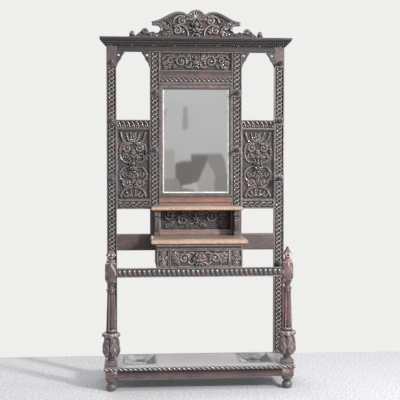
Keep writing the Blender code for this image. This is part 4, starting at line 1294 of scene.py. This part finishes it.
def build_pegs():
    """Turned coat pegs: collar, waisted stem, ringed knob with a button."""
    profile = [
        (0.0155, 0.0), (0.0155, 0.0), (0.0155, 0.003), (0.0120, 0.006), (0.0085, 0.009), (0.0085, 0.009),
        (0.0078, 0.020), (0.0070, 0.040), (0.0072, 0.052), (0.0095, 0.055), (0.0100, 0.058), (0.0078, 0.060),
        (0.0105, 0.062), (0.0150, 0.066), (0.0165, 0.071), (0.0160, 0.076), (0.0120, 0.0805), (0.0072, 0.082),
        (0.0065, 0.0822), (0.0060, 0.0842), (0.0010, 0.085),
    ]
    for node in sorted(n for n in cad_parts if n.startswith("peg_")):
        x, _, z = centre_of(node)
        mesh = turned(profile, (x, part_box(node)[1].y, z), 40, 0.003, axis="y")
        piece(node + "_turned", mesh, SHADED_ACROSS, [node])


def flutes(count, depth, low, high):
    """A shape for turned(): hollow flutes cut between two heights."""

    def shape(angle, radius, height):
        fade = smooth_step(height, low, low + 0.010) * (1 - smooth_step(height, high - 0.010, high))
        hollow = np.abs(np.sin(angle * count / 2)) ** 0.8
        return radius - depth * fade * hollow * radius / radius.max(), height

    return shape


def bulb_leaves(low, high, rim_low):
    """A shape for turned(): five ribbed leaves on a bulb under a scalloped rim."""

    def shape(angle, radius, height):
        up = np.clip((height - low) / (high - low), 0, 1)
        body = smooth_step(height, low, low + 0.012) * (1 - smooth_step(height, high - 0.006, high))
        across = np.mod(angle * 5 / (2 * math.pi) + 0.35 + 0.12 * up, 1.0) * 2 - 1
        width = 0.04 + 0.94 * np.sin(math.pi * np.clip(0.06 + 0.88 * up, 0, 1)) ** 0.7
        leaf = np.sqrt(np.clip(1 - (across / width) ** 2, 0, 1))
        vein = 0.5 + 0.5 * np.cos(2 * math.pi * (2.6 * up + 1.0 * np.abs(across)))
        rib = np.exp(-(across / 0.10) ** 2)
        carved = body * (leaf * (0.0040 + 0.0034 * vein) + 0.0010 * rib - 0.0074)
        rim = smooth_step(height, rim_low - 0.004, rim_low + 0.004)
        scallop = np.abs(np.cos(angle * 4)) ** 0.5
        lip = rim * 0.0095 * (scallop - 1)
        drop = rim * (1 - smooth_step(height, rim_low + 0.014, rim_low + 0.016)) * 0.018 * (scallop - 0.4)
        return radius + carved + lip, height - drop

    return shape


def diamond_block(centre, half, low, high):
    """A square block with cut corners and a raised diamond point on each face."""
    corner = 0.007
    sunk = 0.0075
    across = np.linspace(-1, 1, 27)
    middle = (low + high) / 2
    rings = []
    depths = []
    for z in np.linspace(low, high, 53):
        inset = 0.018 * max(0.0, 1 - (z - low) / 0.024) + 0.011 * max(0.0, 1 - (high - z) / 0.010)
        up = abs(z - middle) / ((high - low) / 2 - 0.016)
        ring = []
        tone = []
        for face in range(4):
            turn = math.radians(90 * face)
            for u in across:
                off = abs(u) + up
                cut = 0.22 * sunk * off if off < 1 else sunk * min(1.0, 0.22 + 1.4 * (off - 1))
                cut *= max(0.0, 1 - inset / 0.006)
                x = half - inset - cut
                y = u * (half - inset - corner)
                across_x = x * math.cos(turn) - y * math.sin(turn)
                across_y = x * math.sin(turn) + y * math.cos(turn)
                ring.append((across_x, across_y, z))
                # the deeper the cut, the lower the depth and the darker the oak: painted shade in the
                # recesses
                tone.append(1.0 - 0.8 * cut / sunk)
        rings.append(ring)
        depths.append(tone)
    rings = np.array(rings) + (centre[0], centre[1], 0.0)
    return loft(rings, np.array(depths), 35.0)


def build_legs():
    """Turned front legs: plinth, bulb, fluted column, diamond block, leafy finial."""
    # profiles of (radius, height) from the top down
    bulb = [
        (0.0260, 0.3440), (0.0500, 0.3420), (0.0535, 0.3390), (0.0545, 0.3320), (0.0525, 0.3250),
        (0.0450, 0.3210), (0.0455, 0.3120), (0.0485, 0.2900), (0.0520, 0.2680), (0.0542, 0.2450),
        (0.0538, 0.2280), (0.0490, 0.2120), (0.0390, 0.2020), (0.0250, 0.1960), (0.0180, 0.1940),
        (0.0180, 0.1910), (0.0225, 0.1890), (0.0225, 0.1860), (0.0190, 0.1845), (0.0280, 0.1815),
        (0.0320, 0.1780), (0.0325, 0.1720), (0.0325, 0.1700),
    ]
    column = [
        (0.0160, 0.6320), (0.0230, 0.6300), (0.0235, 0.6270), (0.0200, 0.6230), (0.0175, 0.6190),
        (0.0170, 0.6100), (0.0180, 0.6050), (0.0245, 0.6030), (0.0268, 0.5990), (0.0268, 0.5940),
        (0.0235, 0.5910), (0.0215, 0.5890), (0.0240, 0.5860), (0.0235, 0.5830), (0.0225, 0.5800),
        (0.0225, 0.5800), (0.0262, 0.4800), (0.0302, 0.3560), (0.0302, 0.3560), (0.0310, 0.3520),
        (0.0300, 0.3480), (0.0280, 0.3440), (0.0260, 0.3420),
    ]
    finial = [
        (0.0015, 0.8437), (0.0060, 0.8430), (0.0085, 0.8395), (0.0075, 0.8350), (0.0055, 0.8330),
        (0.0110, 0.8290), (0.0190, 0.8200), (0.0270, 0.8090), (0.0295, 0.8010), (0.0275, 0.7975),
        (0.0150, 0.7965), (0.0100, 0.7940), (0.0150, 0.7895), (0.0164, 0.7820), (0.0140, 0.7750),
        (0.0100, 0.7725), (0.0250, 0.7710), (0.0272, 0.7675), (0.0272, 0.7635), (0.0235, 0.7605),
        (0.0255, 0.7590), (0.0265, 0.7560),
    ]

    def petals(angle, radius, height):
        open_part = smooth_step(height, 0.794, 0.800) * (1 - smooth_step(height, 0.812, 0.832))
        lobe = np.abs(np.cos(angle * 3)) ** 0.8
        return radius * (1 - 0.42 * open_part * (1 - lobe)), height - 0.006 * open_part * lobe

    for side, sign in SIDES:
        node = f"front_leg_{side}"
        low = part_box(node)[0]
        centre = (sign * LEG_X, centre_of(node)[1], 0.0)
        plinth = plain_board(
            (centre[0] - LEG_HALF, centre[1] - LEG_HALF, low.z),
            (centre[0] + LEG_HALF, centre[1] + LEG_HALF, LEG_PLINTH_TOP),
        )
        piece(f"leg_plinth_{side}", plinth, FRAME_UP, [node])
        leaves = bulb_leaves(0.200, 0.320, 0.325)
        hollows = flutes(9, 0.0070, 0.358, 0.580)
        piece(f"leg_bulb_{side}", turned(bulb, centre, 160, 0.0020, leaves), BULB_OAK)
        piece(f"leg_column_{side}", turned(column, centre, 144, 0.006, hollows), RED_UP)
        piece(f"leg_block_{side}", diamond_block(centre, LEG_HALF, *LEG_BLOCK), RED_UP)
        piece(f"leg_finial_{side}", turned(finial, centre, 72, 0.002, petals), RED_UP)


def build_umbrella_rails():
    """Rope-carved rails with fillets, front and sides."""
    for side, sign in (("front", -1),) + SIDES:
        node = f"umbrella_rail_{side}"
        low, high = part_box(node)
        start, end = (low.x, high.x) if side == "front" else (low.y, high.y)
        near, far = (low.y, high.y) if side == "front" else (low.x, high.x)
        outer, inner = (near, far) if sign < 0 else (far, near)
        relief = Relief((start, low.z), (end, high.z), COARSE)
        relief.rope(relief.middle[1], 0.0200, 0.0095, ROPE_PITCH, 0.26)
        relief.frame_edge(0.0055, 0.002, UMBRELLA_FILLET)
        mesh = carved_board(relief, outer - sign * UMBRELLA_FILLET, inner, UMBRELLA_FILLET, side)
        piece(f"umbrella_rope_{side}", mesh, OAK_ACROSS, [node])


def build_plinth():
    """Plinth board with a rope edge, its apron frame and its turned feet."""
    low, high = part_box("plinth_board")
    strip = PLINTH_ROPE + 0.001

    def shrink(co):
        x = math.copysign(min(abs(co.x), high.x - strip), co.x)
        return Vector((x, max(co.y, low.y + strip), co.z))

    piece("plinth_top", eased("plinth_board", 0.0012, shrink), BASE_TOP, ["plinth_board"])
    tall = high.z - low.z
    strips = (
        ("front", low.x, high.x, low.y, 1),
        ("left", low.y + PLINTH_ROPE, high.y, low.x, 1),
        ("right", low.y + PLINTH_ROPE, high.y, high.x, -1),
    )
    for side, start, end, outer, sign in strips:
        relief = Relief((start, low.z), (end, high.z), FINE)
        relief.rope(relief.middle[1], tall / 2 - 0.0006, PLINTH_ROPE - 0.001, ROPE_PITCH, 0.50)
        mesh = carved_board(relief, outer + sign * PLINTH_ROPE, outer + sign * strip, PLINTH_ROPE, side)
        piece(f"plinth_rope_{side}", mesh, OAK_ACROSS)
    apron = eased("plinth_frame", 0.0015)
    foot, top = (corner.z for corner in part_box("plinth_frame"))
    tone_by_height(apron, top, foot + 0.01, 0.05, 0.5)
    piece("plinth_apron", apron, RED_ACROSS, ["plinth_frame"])

    profile = [
        (0.0335, 0.0765), (0.0340, 0.0765), (0.0340, 0.0700), (0.0335, 0.0640), (0.0290, 0.0560),
        (0.0235, 0.0500), (0.0205, 0.0470), (0.0205, 0.0470), (0.0180, 0.0450), (0.0180, 0.0430),
        (0.0210, 0.0415), (0.0270, 0.0370), (0.0300, 0.0290), (0.0305, 0.0200), (0.0285, 0.0100),
        (0.0245, 0.0030), (0.0200, 0.0), (0.0195, 0.0),
    ]
    for node in sorted(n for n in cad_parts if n.startswith("foot_")):
        x, y, _ = centre_of(node)
        piece(node + "_turned", turned(profile, (x, y, 0.0), 56, 0.003), BULB_OAK, [node])


def grid_edge(values):
    """A square grid's outer values in order round it."""
    return np.concatenate([values[0, :-1], values[:-1, -1], values[-1, :0:-1], values[:0:-1, 0]])


def build_trays():
    """Pressed zinc pans: rolled lip, sloping walls, and an embossed flower."""
    for side, _ in SIDES:
        node = f"drip_tray_{side}"
        low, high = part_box(node)
        cx, cy, _ = centre_of(node)
        half_x = (high.x - low.x) / 2
        half_y = (high.y - low.y) / 2
        lip_top = high.z
        lip_low = lip_top - TRAY_LIP
        floor_z = low.z + 0.002
        steps = 61
        floor_inset = TRAY_WALL_INSET + TRAY_WALL_LEAN
        grid = np.linspace(-1, 1, steps)
        unit_x, unit_y = np.meshgrid(grid, grid)
        floor_x = unit_x * (half_x - floor_inset)
        floor_y = unit_y * (half_y - floor_inset)
        floor = np.stack([cx + floor_x, cy + floor_y, floor_z + tray_flower(floor_x, floor_y)], axis=-1)
        around_x = grid_edge(unit_x)
        around_y = grid_edge(unit_y)
        around = len(around_x)
        # (inset, height) from under the pan, round the lip and down to its floor
        section = (
            (floor_inset - 0.0010, low.z), (TRAY_WALL_INSET - 0.0015, lip_low), (0.0015, lip_low),
            (0.0, lip_low + 0.0008), (0.0, lip_top - 0.0006), (0.0010, lip_top), (0.0042, lip_top),
            (0.0052, lip_top - 0.0010), (0.0100, lip_top - 0.0010), (TRAY_WALL_INSET, lip_top - 0.0022),
            (floor_inset - 0.0020, floor_z + 0.0008), (floor_inset, floor_z),
        )
        rings = []
        for inset, z in section:
            ring = [cx + around_x * (half_x - inset), cy + around_y * (half_y - inset), np.full(around, z)]
            rings.append(np.stack(ring, axis=-1))
        points = np.concatenate(rings + [floor[1:-1, 1:-1].reshape(-1, 3)])
        index = np.arange(len(rings) * around).reshape(len(rings), around)
        over = np.roll(index, -1, 1)
        faces = np.stack([index[:-1], over[:-1], over[1:], index[1:]], axis=-1).reshape(-1, 4).tolist()
        inner = np.full((steps, steps), -1)
        inner[1:-1, 1:-1] = index.size + np.arange((steps - 2) ** 2).reshape(steps - 2, steps - 2)
        order = grid_edge(np.arange(steps * steps).reshape(steps, steps))
        inner.ravel()[order] = index[-1]
        cells = np.stack([inner[:-1, :-1], inner[:-1, 1:], inner[1:, 1:], inner[1:, :-1]], axis=-1)
        faces += cells.reshape(-1, 4).tolist()
        faces.append(index[0][::-1].tolist())
        # painted shade: the tray walls are darkened, and the right wall, which faces away from the key lamp,
        # fully
        stain_and_shade = np.ones(len(points))
        stain_and_shade[index[-3:-1]] = np.where(around_x > 0.999, 0.0, 0.75)
        mesh = tidy_mesh(new_mesh(points, faces, stain_and_shade), 30.0)
        piece(f"zinc_tray_{side}", mesh, ZINC, [node], f"{side}_tray")


def tray_flower(x, y):
    """Height of the tray's pressed ornament: a flower in a ring, with a fan at each end."""
    radius = np.hypot(x, y)
    petal = np.abs(np.cos(np.arctan2(y, x) * 3)) ** 0.7
    flower = 0.0055 * np.clip(1 - (radius / (0.008 + 0.014 * petal)) ** 2, 0, 1)
    ring = 0.0036 * np.exp(-((radius - 0.028) / 0.0022) ** 2)
    end = np.hypot(x, np.abs(y) - 0.066)
    fan = 0.0036 * np.clip(1 - (end / 0.026) ** 2, 0, 1) * (0.4 + 0.6 * np.abs(np.sin(end * 480)))
    return flower + ring + fan


# --------------------------------------------------------- studio and camera
def floor_material():
    """A pale matt floor with a fine grain."""
    nodes = new_material("pale_floor")
    grainy = nodes.noise(nodes.place(), 65.0, 3.0)
    colour = nodes.mix(nodes.spread(grainy, 0.3, 0.7), shade(164, 165, 168), shade(200, 201, 204))
    return nodes.connect(base_color=colour, roughness=0.95, normal=nodes.bump(grainy, 0.5, 0.002))


def build_stage():
    """A pale floor that ends at the wall, and a world that is the backdrop. The room of
    blocks near its horizon shows only in reflections."""
    wall_y = 0.85
    near_y = -9.0
    half = 7.0
    mesh = bpy.data.meshes.new("floor")
    corners = [(x, y, 0.0) for x, y in corners_of((-half, near_y), (half, wall_y))]
    mesh.from_pydata(corners, [], [(0, 1, 2, 3)])
    floor = bpy.data.objects.new("floor", mesh)
    bpy.context.scene.collection.objects.link(floor)
    mesh.materials.append(floor_material())

    world = bpy.data.worlds.new("studio")
    bpy.context.scene.world = world
    nodes = Nodes(world)
    way = nodes.add("ShaderNodeTexCoord").outputs["Generated"]
    height = nodes.add("ShaderNodeSeparateXYZ", {"Vector": way}).outputs["Z"]
    stretched = nodes.add("ShaderNodeMapping", {"Vector": way, "Scale": (60.0, 60.0, 26.0)}).outputs[0]
    cells = nodes.add("ShaderNodeTexVoronoi", {"Vector": stretched, "Scale": 1.0}, distance="CHEBYCHEV")
    chance = nodes.add("ShaderNodeSeparateXYZ", {"Vector": cells.outputs["Color"]}).outputs
    stands = nodes.math("SUBTRACT", chance["X"], nodes.math("MULTIPLY", height, 9.0))
    things = nodes.mix(chance["Y"], (0.34, 0.31, 0.29), (0.84, 0.80, 0.76))
    inputs = {
        "Color": nodes.mix(nodes.spread(stands, 0.46, 0.50), (1.0, 0.99, 0.98), things),
        "Strength": nodes.spread(height, -0.25, 0.45, 0.46, 0.74),
    }
    room = nodes.add("ShaderNodeBackground", inputs).outputs[0]
    seen = nodes.add("ShaderNodeBackground", {"Color": (*shade(238, 238, 236), 1.0)}).outputs[0]
    camera_ray = nodes.add("ShaderNodeLightPath").outputs["Is Camera Ray"]
    surface = nodes.add("ShaderNodeMixShader", {0: camera_ray, 1: room, 2: seen}).outputs[0]
    nodes.tree.links.new(surface, nodes.tree.nodes["World Output"].inputs["Surface"])


def area_light(name, place, target, size, power, spread=180.0):
    """A rectangular lamp that faces a point and that the camera doesn't see."""
    data = bpy.data.lights.new(name, "AREA")
    data.shape = "RECTANGLE"
    data.size, data.size_y = size
    data.spread = math.radians(spread)
    data.energy = power
    lamp = bpy.data.objects.new(name, data)
    bpy.context.scene.collection.objects.link(lamp)
    lamp.visible_camera = False
    lamp.location = place
    lamp.rotation_euler = (Vector(target) - Vector(place)).to_track_quat("-Z", "Y").to_euler()


def build_lights():
    """Soft studio light: a key and a fill in front, and weaker lamps round the piece."""
    target = (0.0, 0.1, 1.15)
    area_light("key", (3.2, -3.8, 2.8), target, (0.60, 0.70), 132.0, BEAM)
    area_light("front", (1.9, -4.6, 1.4), (0.0, 0.1, 0.9), (0.9, 0.5), 20.0, BEAM)
    area_light("side", (4.2, -1.6, 2.2), target, (0.8, 1.2), 40.0)
    area_light("top", (0.6, -1.4, 4.6), (0.0, 0.0, 1.0), (2.0, 1.0), 35.0)
    area_light("rear", (-1.6, 3.6, 3.2), target, (2.0, 2.0), 60.0)


def build_camera():
    """The photo's viewpoint: a long lens a little left of the middle."""
    data = bpy.data.cameras.new("camera")
    data.sensor_width = 36.0
    data.lens = 85.5
    camera = bpy.data.objects.new("camera", data)
    bpy.context.scene.collection.objects.link(camera)
    camera.location = (-0.4229, -5.7142, 1.3567)
    camera.rotation_euler = (math.radians(90 - 2.415), 0.0, math.radians(-4.362))
    bpy.context.scene.camera = camera
    bpy.context.scene.view_settings.view_transform = "Standard"


build_camera()
build_stage()
build_lights()
build_crest()
build_cornice()
build_stiles()
build_rails()
build_panels()
build_mirror()
build_niche()
for side_name, _ in SIDES:
    build_pilaster(side_name)
build_case()
build_drawer()
build_brackets()
build_pegs()
build_legs()
build_umbrella_rails()
build_plinth()
build_trays()
